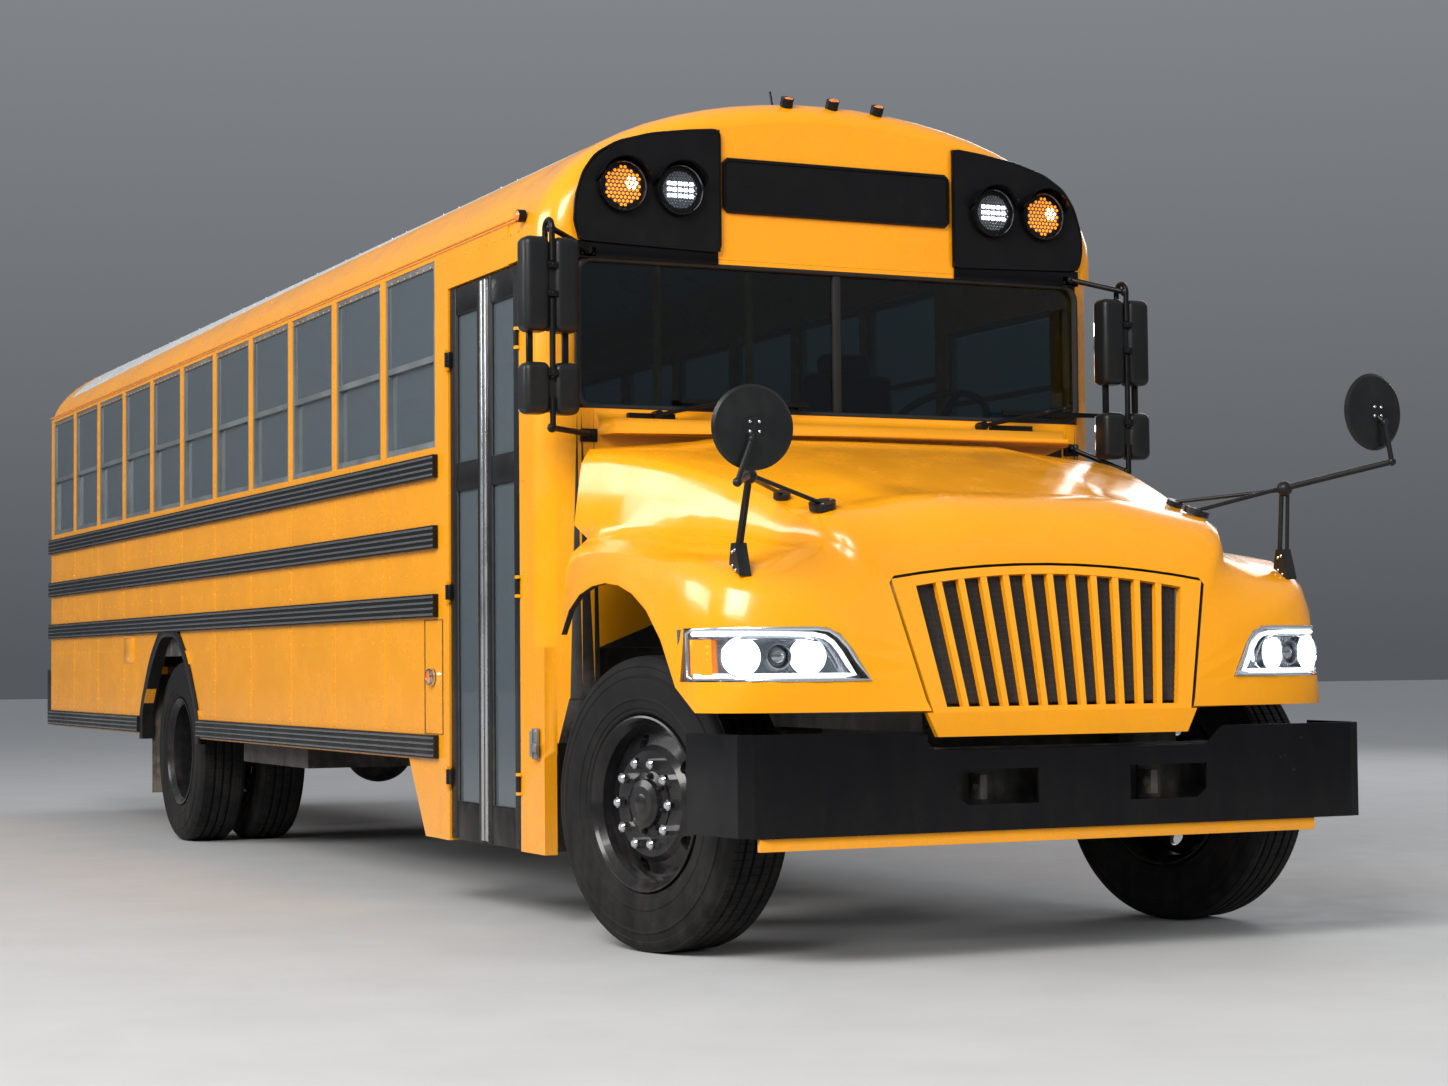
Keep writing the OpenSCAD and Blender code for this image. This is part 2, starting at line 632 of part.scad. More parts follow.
// ---------------------------------------------------------------- cabin
module bench(x) {
    translate([x, 0, 0]) {
        bx(-20, -480, 0, bench_w, floor_z + 330, floor_z + 450);
        along_y(0, bench_w, [[-440, floor_z + 340], [-500, floor_z + 340], [-640, floor_z + bench_h],
            [-560, floor_z + bench_h]]);
        bx(-60, -100, 30, 70, floor_z + 0.3, floor_z + 340);
        bx(-400, -440, 30, 70, floor_z + 0.3, floor_z + 340);
    }
}
module passenger_seats() {
    color([0.10, 0.12, 0.16]) placed() {
        for (i = [0:bays - 1]) translate([0, aisle_half, 0]) bench(first_seat - i * (bay - 8));
        for (i = [0:bays - 1]) mirror([0, 1, 0]) translate([0, aisle_half, 0]) bench(first_seat - i * (bay - 8));
    }
}
module driver_seat() {
    color([0.05, 0.05, 0.06]) placed() union() {
        bx(-1900, -1400, 420, 920, floor_z + 380, floor_z + 500);
        along_y(430, 910, [[-1810, floor_z + 450], [-1900, floor_z + 450], [-2010, floor_z + 1150],
            [-1930, floor_z + 1170]]);
        rod_z(-1650, 670, floor_z + 0.3, floor_z + 390, 110);
        bx(-1860, -1440, 470, 870, floor_z + 0.3, floor_z + 60);
    }
}
module dashboard() {
    color([0.05, 0.05, 0.055]) placed() union() {
        intersection() {
            translate([0, 0, floor_z]) linear_extrude(1000) polygon(front_plan(face_x - 700, wall_t + 1));
            along_y(-300, hw, [[face_x - wall_t - 1, floor_z + 0.5], [face_x - wall_t - 120, floor_z + 0.5],
                [face_x - wall_t - 150, floor_z + 520], [face_x - wall_t - 330, floor_z + 640],
                [face_x - wall_t - 300, floor_z + 740], [face_x - wall_t - 1, floor_z + 755]]);
        }
        // steering column
        bar([face_x - 250, 670, floor_z + 560], [face_x - 400, 670, floor_z + 760], 34);
    }
}
module steering_wheel() {
    color([0.04, 0.04, 0.045]) placed() translate([face_x - 400.3, 670, floor_z + 760.4])
        rotate([0, -steer_tilt, 0]) union() {
            translate([0, 0, 12]) rotate_extrude() translate([215, 0]) circle(r = 15, $fn = 24);
            cylinder(h = 30, r = 55);
            for (a = [0, 120, 240]) rotate([0, 0, a]) translate([40, -14, 4]) cube([168, 28, 14]);
        }
}
steer_tilt = 36.87;
module grab_rails() {
    color([0.90, 0.70, 0.05]) placed() {
        for (x = [door_rear + 70, door_front - 70]) union() {
            rod_z(x, -1080, door_z + 24.3, door_z + 924, 16);
            translate([x, -1080, door_z + 924]) sphere(r = 17.5, $fn = 24);
            bar([x, -1080, door_z + 924], [x, -wall_inner_steps, floor_z + 650], 15);
            translate([x, -wall_inner_steps, floor_z + 650]) sphere(r = 17.5, $fn = 24);
            rod_z(x, -wall_inner_steps, floor_z - mix(0, floor_z - door_z - 24, 1 / 3) + 0.3, floor_z + 650, 16);
        }
        // modesty panels behind the doorway and the driver
        bx(door_rear - 40, door_rear - 60, -hw + wall_t + 10, -aisle_half - 60, floor_z + 150, floor_z + 800);
        rod_z(door_rear - 50, -aisle_half - 60, floor_z + 0.3, roof_base + 400, 17);
        rod_z(door_rear - 230, aisle_half + 60, floor_z + 0.3, roof_base + 400, 17);
        bx(door_rear - 220, door_rear - 240, aisle_half + 60, hw - wall_t - 10, floor_z + 150, floor_z + 800);
    }
}

// ---------------------------------------------------------------- hood
// Shape of one half of the hood at share t of the way from its rear edge to the turn.
function arch_line(x) = let (u = (x + 165) / (x > -165 ? 594 : 600)) 790 + 476 * sqrt(max(0, 1 - u * u));
function hood_bottom(x) = x > 400 ? 905 : max(822, arch_line(x));
function hood_half(x, t) = let (
        zt = mix(hood_top_rear, hood_top_front, pow(t, 1.4)),
        sy = mix(1105, 800, pow(t, 0.8)),
        sz = mix(1775, hood_top_front - 68, pow(t, 1.5)),
        cz = mix(crown_z, crown_z - 90, t * t),
        zb = hood_bottom(x),
        fy = mix(hw + 2, fender_half, clamp01(t * 6)))
    [[x, fy, zb],
     [x, fy, zb + 28],
     [x, fy - 12, mix(zb, cz, 0.35)],
     [x, fy - 18, mix(zb, cz, 0.68)],
     [x, fy - 46, cz - 48],
     [x, fy - 90, cz - 10],
     [x, mix(sy + 60, fy - 140, 0.6), cz + 4],
     [x, sy + 62, mix(cz, sz, 0.16)],
     [x, sy + 48, mix(cz, sz, 0.5)],
     [x, sy + 32, mix(cz, sz, 0.84)],
     [x, sy, sz],
     [x, mix(sy, mix(700, 500, t), 0.5), mix(sz, zt, 0.3)],
     [x, mix(700, 500, t), zt - 20],
     [x, mix(600, 400, t), zt - 4],
     [x, 0, zt]];
hood_m = 15;
// Matching half outline of the hole the grille sits in.
function grille_edge() = let (g = 9.6, s = sin(grille_lean), c = cos(grille_lean))
    [for (i = [0:hood_m - 1])
        let (k = i < 9 ? i / 8 : 1, j = i < 10 ? 0 : (i - 9) / (hood_m - 10),
             w = i < 9 ? mix(grille_low_half, grille_top_half, k) + g : (grille_top_half + g) * (i == 9 ? 0.97 : 1 - j),
             h = i < 9 ? grille_h * k - 12 : grille_h + g + grille_arch * (1 - pow(w / grille_top_half, 2)))
        [grille_x - h * s, w, grille_z + h * c]];
// Curve from a to c pulled towards b with weight w.
function bez(a, b, c, q, w = 1) = ((1 - q) * (1 - q) * a + 2 * q * (1 - q) * w * b + q * q * c)
    / ((1 - q) * (1 - q) + 2 * q * (1 - q) * w + q * q);
nose_n = 8;
function nose_half(q) = let (e = hood_half(hood_turn, 1), g = grille_edge())
    [for (i = [0:hood_m - 1])
        let (p = e[i], r = g[i], low = i < 7,
             c = low ? [grille_x - 93, p[1] - 10, mix(p[2], r[2], 0.35)]
                     : [grille_x - 90, mix(p[1], r[1], 0.25), mix(p[2], r[2], 0.05)],
             v = bez(p, c, r, q, low ? mix(2.2, 1.2, i / 6) : 1.1))
        i == 0 ? [v[0], v[1], 822] : i == 1 ? [v[0], v[1], max(840, v[2])] : v];
function hood_rows() = concat(
    [for (i = [0:9]) let (t = i / 9) hood_half(mix(hood_rear, hood_turn, t), t)],
    [for (i = [1:nose_n]) nose_half(i / nose_n)]);
function whole(h) = concat([for (i = [0:hood_m - 1]) [h[i][0], -h[i][1], h[i][2]]],
    [for (i = [hood_m - 2:-1:0]) h[i]]);
function unit(v) = v / max(1e-6, norm(v));
// Grid of points on the skin, moved inwards by d.
function skin(d) = let (g = [for (r = hood_rows()) whole(r)], n = len(g), m = len(g[0]))
    [for (i = [0:n - 1]) [for (j = [0:m - 1])
        let (a = g[min(n - 1, i + 1)][j] - g[max(0, i - 1)][j],
             b = g[i][min(m - 1, j + 1)] - g[i][max(0, j - 1)],
             v = unit(cross(a, b)))
        g[i][j] - d * v]];
// Closed solid between two matching grids of points, outer a and inner b.
module solid_between(a, b) {
    n = len(a);
    m = len(a[0]);
    k = n * m;
    pts = concat([for (r = a) for (p = r) p], [for (r = b) for (p = r) p]);
    quads = concat(
        [for (i = [0:n - 2]) for (j = [0:m - 2]) [i * m + j, i * m + j + 1, (i + 1) * m + j + 1, (i + 1) * m + j]],
        [for (i = [0:n - 2]) for (j = [0:m - 2]) [k + i * m + j, k + (i + 1) * m + j, k + (i + 1) * m + j + 1, k + i * m + j + 1]],
        [for (j = [0:m - 2]) [j, k + j, k + j + 1, j + 1]],
        [for (j = [0:m - 2]) [(n - 1) * m + j + 1, k + (n - 1) * m + j + 1, k + (n - 1) * m + j, (n - 1) * m + j]],
        [for (i = [0:n - 2]) [(i + 1) * m, k + (i + 1) * m, k + i * m, i * m]],
        [for (i = [0:n - 2]) [i * m + m - 1, k + i * m + m - 1, k + (i + 1) * m + m - 1, (i + 1) * m + m - 1]]);
    tris = [for (q = quads) for (t = [[q[0], q[1], q[2]], [q[0], q[2], q[3]]]) t];
    polyhedron(points = pts, faces = tris);
}
module shell(d0, d1) {
    solid_between(skin(d0), skin(d1));
}
module lamp_prism(g) {
    both_sides() along_x(470 + g, grille_x + 60, [[712 + g * 2, 922 + g], [1320, 922 + g], [1320, 1098 - g],
        [860, 1098 - g], [812 + g, 1076 - g], [776 + g, 1030]]);
}
module hood() {
    color([0.93, 0.55, 0.03]) placed() difference() {
        shell(0, hood_t);
        lamp_prism(0);
    }
}
module headlights() {
    color([0.90, 0.92, 0.94]) placed() intersection() {
        shell(1, 48);
        lamp_prism(0.6);
    }
}
function grille_top(w, n = 12) = [for (i = [0:n]) let (y = mix(w, -w, i / n)) [y, grille_h + grille_arch * (1 - pow(y / w, 2))]];
function grille_hole_top(w, n = 12) = [for (i = [0:n]) let (y = mix(w, -w, i / n)) [y, grille_h - 22 + (grille_arch - 6) * (1 - pow(y / w, 2))]];
module grille() {
    color([0.93, 0.55, 0.03]) placed() union() {
        translate([grille_x, 0, grille_z]) rotate([0, -grille_lean, 0]) union() {
            difference() {
                along_x(-26, 0, concat([[-grille_low_half, 0], [grille_low_half, 0]], grille_top(grille_top_half)));
                along_x(-27, 1, concat([[-454, 22], [454, 22]], grille_hole_top(524)));
            }
            for (i = [1:grille_bars]) {
                lo = mix(-454, 454, i / (grille_bars + 1));
                hi = mix(-524, 524, i / (grille_bars + 1));
                top = grille_h - 10 + (grille_arch - 6) * (1 - pow(hi / 524, 2));
                along_x(-24, -2, [[lo - 11, 10], [lo + 11, 10], [hi + 12, top], [hi - 12, top]]);
            }
        }
        // chin under the grille
        along_x(grille_x - 24, grille_x, [[-490, 736], [490, 736], [530, grille_z + 4], [-530, grille_z + 4]]);
    }
}

// ---------------------------------------------------------------- mirrors
// One round mirror with its frame; cz is the height of its middle.
module crossview_one(cz) {
    // foot on the fender
    translate([0, 0, foot_z]) along_y(1068, 1110, [[575, 66.6], [655, 26.1], [655, 32], [622, 135], [590, 135]]);
    bar([600, 1079, foot_z + 125], [640, 1062, 1590], 8.5);
    bar([616, 1099, foot_z + 125], [654, 1078, 1590], 7);
    bar([550, 750, 1512], [648, 1068, 1596], 7.6);
    bar([345, 800, 1556], [644, 1068, 1588], 7.2);
    bar([648, 1070, 1594], [990, 1275, cz - 175], 11);
    bar([990, 1275, cz - 175], [1008, 1232, cz - 40], 9);
    bar([1008, 1232, cz - 40], [973, 1216, cz - 4], 9);
    translate([647, 1070, 1592]) sphere(r = 28, $fn = 24);
    translate([990, 1275, cz - 175]) sphere(r = 15, $fn = 24);
    translate([1008, 1232, cz - 40]) sphere(r = 13, $fn = 24);
    translate([550, 750, 1497.2]) rotate([-13.6, 14.5, 0]) cylinder(h = 22, r = 46);
    translate([345, 800, 1542.9]) rotate([-9.2, 22.1, 0]) cylinder(h = 20, r = 30);
    // black cover towards the front, mirror dome towards the driver
    translate([970, round_mirror_y, cz]) rotate([0, 90, 7])
        rotate_extrude() polygon([[0, 24], [40, 22], [round_mirror_d / 2 - 10, 8], [round_mirror_d / 2, 0],
            [round_mirror_d / 2 - 4, -8], [95, -34], [50, -46], [0, -50]]);
}
module crossview_mirrors() {
    color([0.03, 0.03, 0.032]) placed() union() {
        crossview_one(1845);
        mirror([0, 1, 0]) crossview_one(1720);
    }
}
module mirror_set(x, y0, z0) {
    // upper and lower heads with their rounded backs
    translate([x, y0, z0]) {
        hull() {
            bx(-40, -20, 0, 220, 300, 650);
            bx(30, 60, 25, 195, 330, 620);
        }
        hull() {
            bx(-40, -20, 0, 220, 0, 190);
            bx(30, 55, 20, 200, 20, 170);
        }
        rod_z(10, 110, -60, 720, 14);
    }
}
module side_mirrors() {
    color([0.03, 0.03, 0.032]) placed() {
        // right set
        union() {
            mirror([0, 1, 0]) mirror_set(-600, 1170, 1893);
            bar([-590, -1280, 1840], [face_x + 17, -1060, 1840], 14);
            bx(face_x + 0.3, face_x + 20, -1090, -1030, 1815, 1865);
            bar([-590, -1280, 2605], [face_x + 17, -1060, 2532], 14);
            bx(face_x + 0.3, face_x + 20, -1090, -1030, 2515, 2550);
        }
        // left set
        union() {
            mirror_set(-620, 1110, 1790);
            bar([-610, 1220, 1735], [face_x + 17, 1060, 1838], 14);
            bx(face_x + 0.3, face_x + 20, 1030, 1090, 1815, 1862);
            bar([-610, 1220, 2500], [face_x + 17, 1060, 2531], 14);
            bx(face_x + 0.3, face_x + 20, 1030, 1090, 2513, 2550);
        }
    }
}

// ---------------------------------------------------------------- lamps and fittings
module roof_lamps() {
    color([0.02, 0.02, 0.022]) placed() union() {
        both_sides() {
            difference() {
                along_x(face_x + 0.3, face_x + 18, [[515, 2556], [1098, 2572], [1116, 2640], [1114, 2718], [1080, 2826], [1030, 2896],
                    [940, 2950], [800, 2990], [640, 3014], [515, 3026]]);
                for (y = [690, 925]) rod_x(face_x + 8, face_x + 30, y, 2780, warning_r);
            }
            for (y = [690, 925]) rod_x(face_x + 8.3, face_x + 30, y, 2780, warning_r - 2);
        }
        // blank sign in the middle
        along_x(face_x + 0.3, face_x + 10, [[-500, 2730], [-480, 2709], [480, 2709], [500, 2730], [500, 2903], [480, 2923], [-480, 2923], [-500, 2903]]);
        // marker lamps on the roof's front edge
        for (y = [-190, 10, 210]) translate([face_x - 60, y, roof_z(y, 20)]) rotate([0, 27.1, 0]) translate([0, 0, abs(y) > 100 ? 0.25 : -0.7]) cylinder(h = 34, r = 26);
        both_sides() translate([-1000, hw - 5.5, 2690]) rotate([-90, 0, 0]) cylinder(h = 30, r = 24);
        both_sides() translate([door_rear - 201, hw + 0.3, 935]) rotate([-90, 0, 0]) cylinder(h = 22, r = 34);
    }
}
module rear_lamps() {
    color([0.55, 0.05, 0.04]) placed() both_sides() {
        rod_x(rear_x - 22, rear_x - 0.3, 690, 2800, warning_r);
        rod_x(rear_x - 22, rear_x - 0.3, 925, 2760, warning_r);
        rod_x(rear_x - 22, rear_x - 0.3, 930, 1330, 88);
        rod_x(rear_x - 22, rear_x - 0.3, 930, 1130, 50);
        rod_x(rear_x - 22, rear_x - 0.3, 700, 1330, 60);
    }
}
module wipers() {
    color([0.02, 0.02, 0.022]) placed() {
        for (s = [[-789, 1], [628, 1]]) {
            union() {
                rod_x(face_x + 0.3, face_x + 50, s[0], 1919, 17);
                bar([face_x + 40, s[0], 1919], [face_x + 30, s[0] + 420, 2010], 8);
                bx(face_x + 8, face_x + 30, s[0] + 100, s[0] + 640, 1968, 1986);
                bar([face_x + 36, s[0] + 390, 2003], [face_x + 20, s[0] + 370, 1980], 8);
            }
        }
        for (y = [-905, 675]) bx(face_x + 0.3, face_x + 26, y, y + 190, 1902, 1925);
    }
}
module antenna() {
    color([0.05, 0.05, 0.05]) placed() union() {
        translate([cap_rear - 120, 0, roof_z(0, 0) + 0.3]) cylinder(h = 16, r = 22);
        bar([cap_rear - 120, 0, roof_z(0, 0) + 10], [cap_rear - 165, 0, roof_z(0, 0) + 150], 5);
    }
}

// ---------------------------------------------------------------- doors
leaf_w = door_w / 2;
module leaf(w) {
    // drawn from x = 0 to w, outside face at y = 0
    z0 = door_z + door_gap;
    z1 = door_top - door_gap;
    rail = 78;
    difference() {
        bx(0, w, 0, door_t, z0, z1);
        bx(rail, w - rail, -1, door_t + 1, z0 + 150, 1690);
        bx(rail, w - rail, -1, door_t + 1, 1800, z1 - 110);
    }
    bx(rail - 4, w - rail + 4, 14, 14 + glass_t, z0 + 146, 1694);
    bx(rail - 4, w - rail + 4, 14, 14 + glass_t, 1796, z1 - 106);
}
module door_leaf_front() {
    color([0.04, 0.04, 0.045]) placed() union() {
        translate([door_front - leaf_w + 5, 6 - hw, 0]) leaf(leaf_w - 5 - door_gap);
        for (z = hinge_zs) hinge_barrel(door_front - 4, z, 1);
    };
}
module door_leaf_rear() {
    color([0.04, 0.04, 0.045]) placed() union() {
        translate([door_rear + door_gap, 6 - hw, 0]) leaf(leaf_w - 5 - door_gap);
        for (z = hinge_zs) hinge_barrel(door_rear + 4, z, -1);
    };
}
module rear_door() {
    g = 6;
    color([0.93, 0.55, 0.03]) placed() union() {
        difference() {
            bx(rear_x + 4, rear_x + 44, g - rear_door_half(), rear_door_half() - g, rear_door_z() + g, rear_door_top() - g);
            bx(rear_x + 3, rear_x + 45, 90 - rear_door_half(), rear_door_half() - 90, sill_z + 30, rear_door_top() - 90);
            bx(rear_x + 3, rear_x + 45, 90 - rear_door_half(), rear_door_half() - 90, rear_door_z() + 180, sill_z - 120);
        }
        bx(rear_x + 18, rear_x + 24, 86 - rear_door_half(), rear_door_half() - 86, sill_z + 26, rear_door_top() - 86);
        bx(rear_x + 18, rear_x + 24, 86 - rear_door_half(), rear_door_half() - 86, rear_door_z() + 176, sill_z - 116);
        bx(rear_x - 26, rear_x + 5, rear_door_half() - 160, rear_door_half() - 60, sill_z - 80, sill_z - 50);
        for (z = rear_hinge_zs) {
            rod_z(rear_x - 9, 3 - rear_door_half(), z, z + 80, 9);
            bx(rear_x - 12, rear_x + 5, 6 - rear_door_half(), 30 - rear_door_half(), z, z + 80);
        }
    }
}
module hatch(x) {
    z = roof_z(300, 0);
    translate([x, 0, 0]) union() {
        bx(-330, 330, -330, 330, roof_base + roof_rise + 6, roof_base + roof_rise + 44);
        for (m = [0, 1]) mirror([0, m, 0]) {
            rod_y(340, 172, 228, roof_base + roof_rise + 14, 8);
            bx(322, 342, 172, 228, roof_base + roof_rise + 8, roof_base + roof_rise + 20);
        }
        difference() {
            bx(-293, 293, -293, 293, z - 40, roof_base + roof_rise + 8);
            bx(-273, 273, -273, 273, z - 41, roof_base + roof_rise + 7);
        }
    }
}
module hatch_front() {
    color([0.88, 0.88, 0.86]) placed() hatch(hatch_x(0));
}
module hatch_rear() {
    color([0.88, 0.88, 0.86]) placed() hatch(hatch_x(1));
}
module stop_arm() {
    // blank octagon folded flat against the left side
    r = 240;
    c = r * cos(22.5);
    color([0.70, 0.04, 0.03]) placed() union() {
        translate([wall_front - 90 - c, hw + 60, 1370]) rotate([90, 0, 0]) rotate([0, 0, 22.5]) cylinder(h = 12, r = r, $fn = 8);
        bx(wall_front - 100, wall_front - 58, hw + 46, hw + 62, 1310, 1430);
        rod_z(wall_front - 60, hw + 54, 1300.3, 1440, 10);
    }
}

// ---------------------------------------------------------------- steering
module steered(side) {
    placed() translate([0, side * kingpin_y, 0]) rotate([0, 0, rest_steer]) translate([0, -side * kingpin_y, 0]) children();
}
module knuckle(side) {
    k = kingpin_y;
    union() {
        rod_z(0, side * k, 372, 618, 24);
        rod_z(0, side * k, 372, 420, 46);
        rod_z(0, side * k, 570, 618, 46);
        bx(-46, 46, side * (k + 10), side * (k + 84), 372, 420);
        bx(-46, 46, side * (k + 10), side * (k + 84), 570, 618);
        bx(-60, 60, side * (k + 54), side * (k + 84), 372, 640);
        rod_y(0, side > 0 ? k + 70 : -k - front_spindle(), side > 0 ? k + front_spindle() : -k - 70, tyre_r, 40);
        bx(-230, -30, side * k - 22, side * k + 22, 380, 412);
        rod_z(-210, side * k, 340, 382, 14);
    }
}
function front_spindle() = front_half_track - kingpin_y + 60;
module knuckle_right() {
    color([0.08, 0.08, 0.085]) steered(-1) knuckle(-1);
}
module knuckle_left() {
    color([0.08, 0.08, 0.085]) steered(1) knuckle(1);
}
module tie_rod() {
    color([0.10, 0.10, 0.105]) placed()
        translate([210 - 210 * cos(rest_steer), -210 * sin(rest_steer), 0]) translate([-210, 0, 0]) difference() {
            union() {
                rod_y(0, -kingpin_y + 26, kingpin_y - 26, 352, 18);
                rod_z(0, -kingpin_y, 335, 370, 30);
                rod_z(0, kingpin_y, 335, 370, 30);
            }
            rod_z(0, -kingpin_y, 330, 375, 14.3);
            rod_z(0, kingpin_y, 330, 375, 14.3);
        }
}

// ---------------------------------------------------------------- wheels
// Tyre and rim are drawn round the Y axis with their outside face towards +Y.
module tyre() {
    w = tyre_w / 2;
    rotate([-90, 0, 0]) rotate_extrude() polygon([
        [rim_r - 6, -w + 44], [rim_r + 10, -w + 18], [rim_r + 60, -w + 5], [rim_r + 110, -w],
        [tyre_r - 60, -w + 6], [tyre_r - 20, -w + 16], [tyre_r - 5, -w + 26], [tyre_r, -w + 46],
        [tyre_r, w - 46], [tyre_r - 5, w - 26], [tyre_r - 20, w - 16], [tyre_r - 60, w - 6],
        [rim_r + 110, w], [rim_r + 60, w - 5], [rim_r + 10, w - 18], [rim_r - 6, w - 44],
        [rim_r - 20, w - 60], [rim_r - 20, 60 - w]]);
}
// Barrel of a rim, with its middle at Y = 0.
module barrel() {
    w = tyre_w / 2;
    rotate([-90, 0, 0]) rotate_extrude() polygon([
        [rim_r + 2, w - 12], [rim_r + 2, w - 24], [rim_r - 7, w - 30], [rim_r - 7, w - 42.5], [rim_r - 20.3, w - 59.5],
        [rim_r - 20.3, 59.5 - w], [rim_r - 7, 42.5 - w], [rim_r - 7, 30 - w], [rim_r + 2, 24 - w], [rim_r + 2, 12 - w],
        [rim_r - 5, 10 - w], [rim_r - 14, 20 - w], [rim_r - 30, 42 - w], [rim_r - 34, 78 - w],
        [rim_r - 34, w - 78], [rim_r - 30, w - 42], [rim_r - 14, w - 20], [rim_r - 5, w - 10]]);
}
module hand_holes(y0, y1) {
    for (i = [0:4]) rotate([0, i * 72 + 36, 0]) translate([nut_ring + 78, y0, 0]) rotate([-90, 0, 0]) cylinder(h = y1 - y0, r = 27);
}
module nut_circle(y) {
    for (i = [0:nuts - 1]) rotate([0, i * 360 / nuts, 0]) translate([nut_ring, y, 0]) rotate([-90, 0, 0]) cylinder(h = 44, r = 16);
}
module front_rim() {
    b = rim_r - 28;
    n = nut_ring;
    union() {
        barrel();
        difference() {
            rotate([-90, 0, 0]) rotate_extrude() polygon([[b, 28], [b, 46], [b - 28, 52], [n + 57, 74], [n + 38, 92],
                [100, 92], [100, 78], [n + 30, 78], [n + 47, 60], [b - 38, 36], [b - 15, 28]]);
            hand_holes(10, 120);
        }
        nut_circle(85);
        rotate([-90, 0, 0]) rotate_extrude() polygon([[40.3, -26], [96, -26], [112, 0], [112, 96], [86, 104],
            [82, 122], [60, 132], [0, 132], [0, 64], [40.3, 64]]);
    }
}
// Disc of a twin wheel, dished back to the face where the two wheels meet.
module twin_disc() {
    b = rim_r - 28;
    n = nut_ring;
    m = -twin_gap / 2;
    difference() {
        rotate([-90, 0, 0]) rotate_extrude() polygon([[b, m + 110], [b, m + 90], [b - 40, m + 58], [n + 52, m + 14], [n + 40, m],
            [100, m], [100, m + 15], [n + 32, m + 15], [n + 44, m + 28], [b - 50, m + 72], [b - 20, m + 106]]);
        hand_holes(m - 20, m + 120);
    }
}
module front_tyre_right() {
    color([0.03, 0.03, 0.03]) steered(-1) translate([0, -front_half_track, tyre_r]) mirror([0, 1, 0]) tyre();
}
module front_rim_right() {
    color([0.02, 0.02, 0.022]) steered(-1) translate([0, -front_half_track, tyre_r]) mirror([0, 1, 0]) front_rim();
}
module front_tyre_left() {
    color([0.03, 0.03, 0.03]) steered(1) translate([0, front_half_track, tyre_r]) tyre();
}
module front_rim_left() {
    color([0.02, 0.02, 0.022]) steered(1) translate([0, front_half_track, tyre_r]) front_rim();
}
// Twin rear wheels, drawn for the left side with the outer tyre's middle at Y = 0.
module twin_tyres() {
    tyre();
    translate([0, -twin_gap, 0]) tyre();
}
module twin_rims() {
    m = -twin_gap / 2;
    union() {
        barrel();
        translate([0, -twin_gap, 0]) barrel();
        twin_disc();
        translate([0, -twin_gap, 0]) mirror([0, 1, 0]) twin_disc();
        // hub through both discs
        rotate([-90, 0, 0]) rotate_extrude() polygon([[62.3, m - 152], [118, m - 152], [118, m + 50], [104, m + 140],
            [84, m + 170], [60, m + 184], [0, m + 184], [0, 4 - 60], [62.3, 4 - 60]]);
        nut_circle(m + 10);
    }
}
module rear_tyres_right() {
    color([0.03, 0.03, 0.03]) placed() translate([rear_axle_x, -rear_outer_y, tyre_r]) mirror([0, 1, 0]) twin_tyres();
}
module rear_rims_right() {
    color([0.02, 0.02, 0.022]) placed() translate([rear_axle_x, -rear_outer_y, tyre_r]) mirror([0, 1, 0]) twin_rims();
}
module rear_tyres_left() {
    color([0.03, 0.03, 0.03]) placed() translate([rear_axle_x, rear_outer_y, tyre_r]) twin_tyres();
}
module rear_rims_left() {
    color([0.02, 0.02, 0.022]) placed() translate([rear_axle_x, rear_outer_y, tyre_r]) twin_rims();
}

chassis_frame();
engine_block();
floor();
side_wall_right();
side_wall_left();
roof();
front_cap();
cowl();
windshield();
rear_wall();
window_frames_right();
window_frames_left();
window_glass_right();
window_glass_left();
rub_rails();
front_bumper();
rear_bumper();
front_axle();
rear_axle();
driveshaft();
fuel_tank();
exhaust();
passenger_seats();
driver_seat();
dashboard();
side_mirrors();
roof_lamps();
rear_lamps();
wipers();
mud_flaps();
antenna();
grab_rails();
hood();
grille();
headlights();
crossview_mirrors();
door_leaf_front();
door_leaf_rear();
rear_door();
hatch_front();
hatch_rear();
stop_arm();
knuckle_right();
knuckle_left();
tie_rod();
steering_wheel();
front_tyre_right();
front_rim_right();
front_tyre_left();
front_rim_left();
rear_tyres_right();
rear_rims_right();
rear_tyres_left();
rear_rims_left();
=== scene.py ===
import json
import math

import bmesh
import bpy
from mathutils import Matrix, Vector


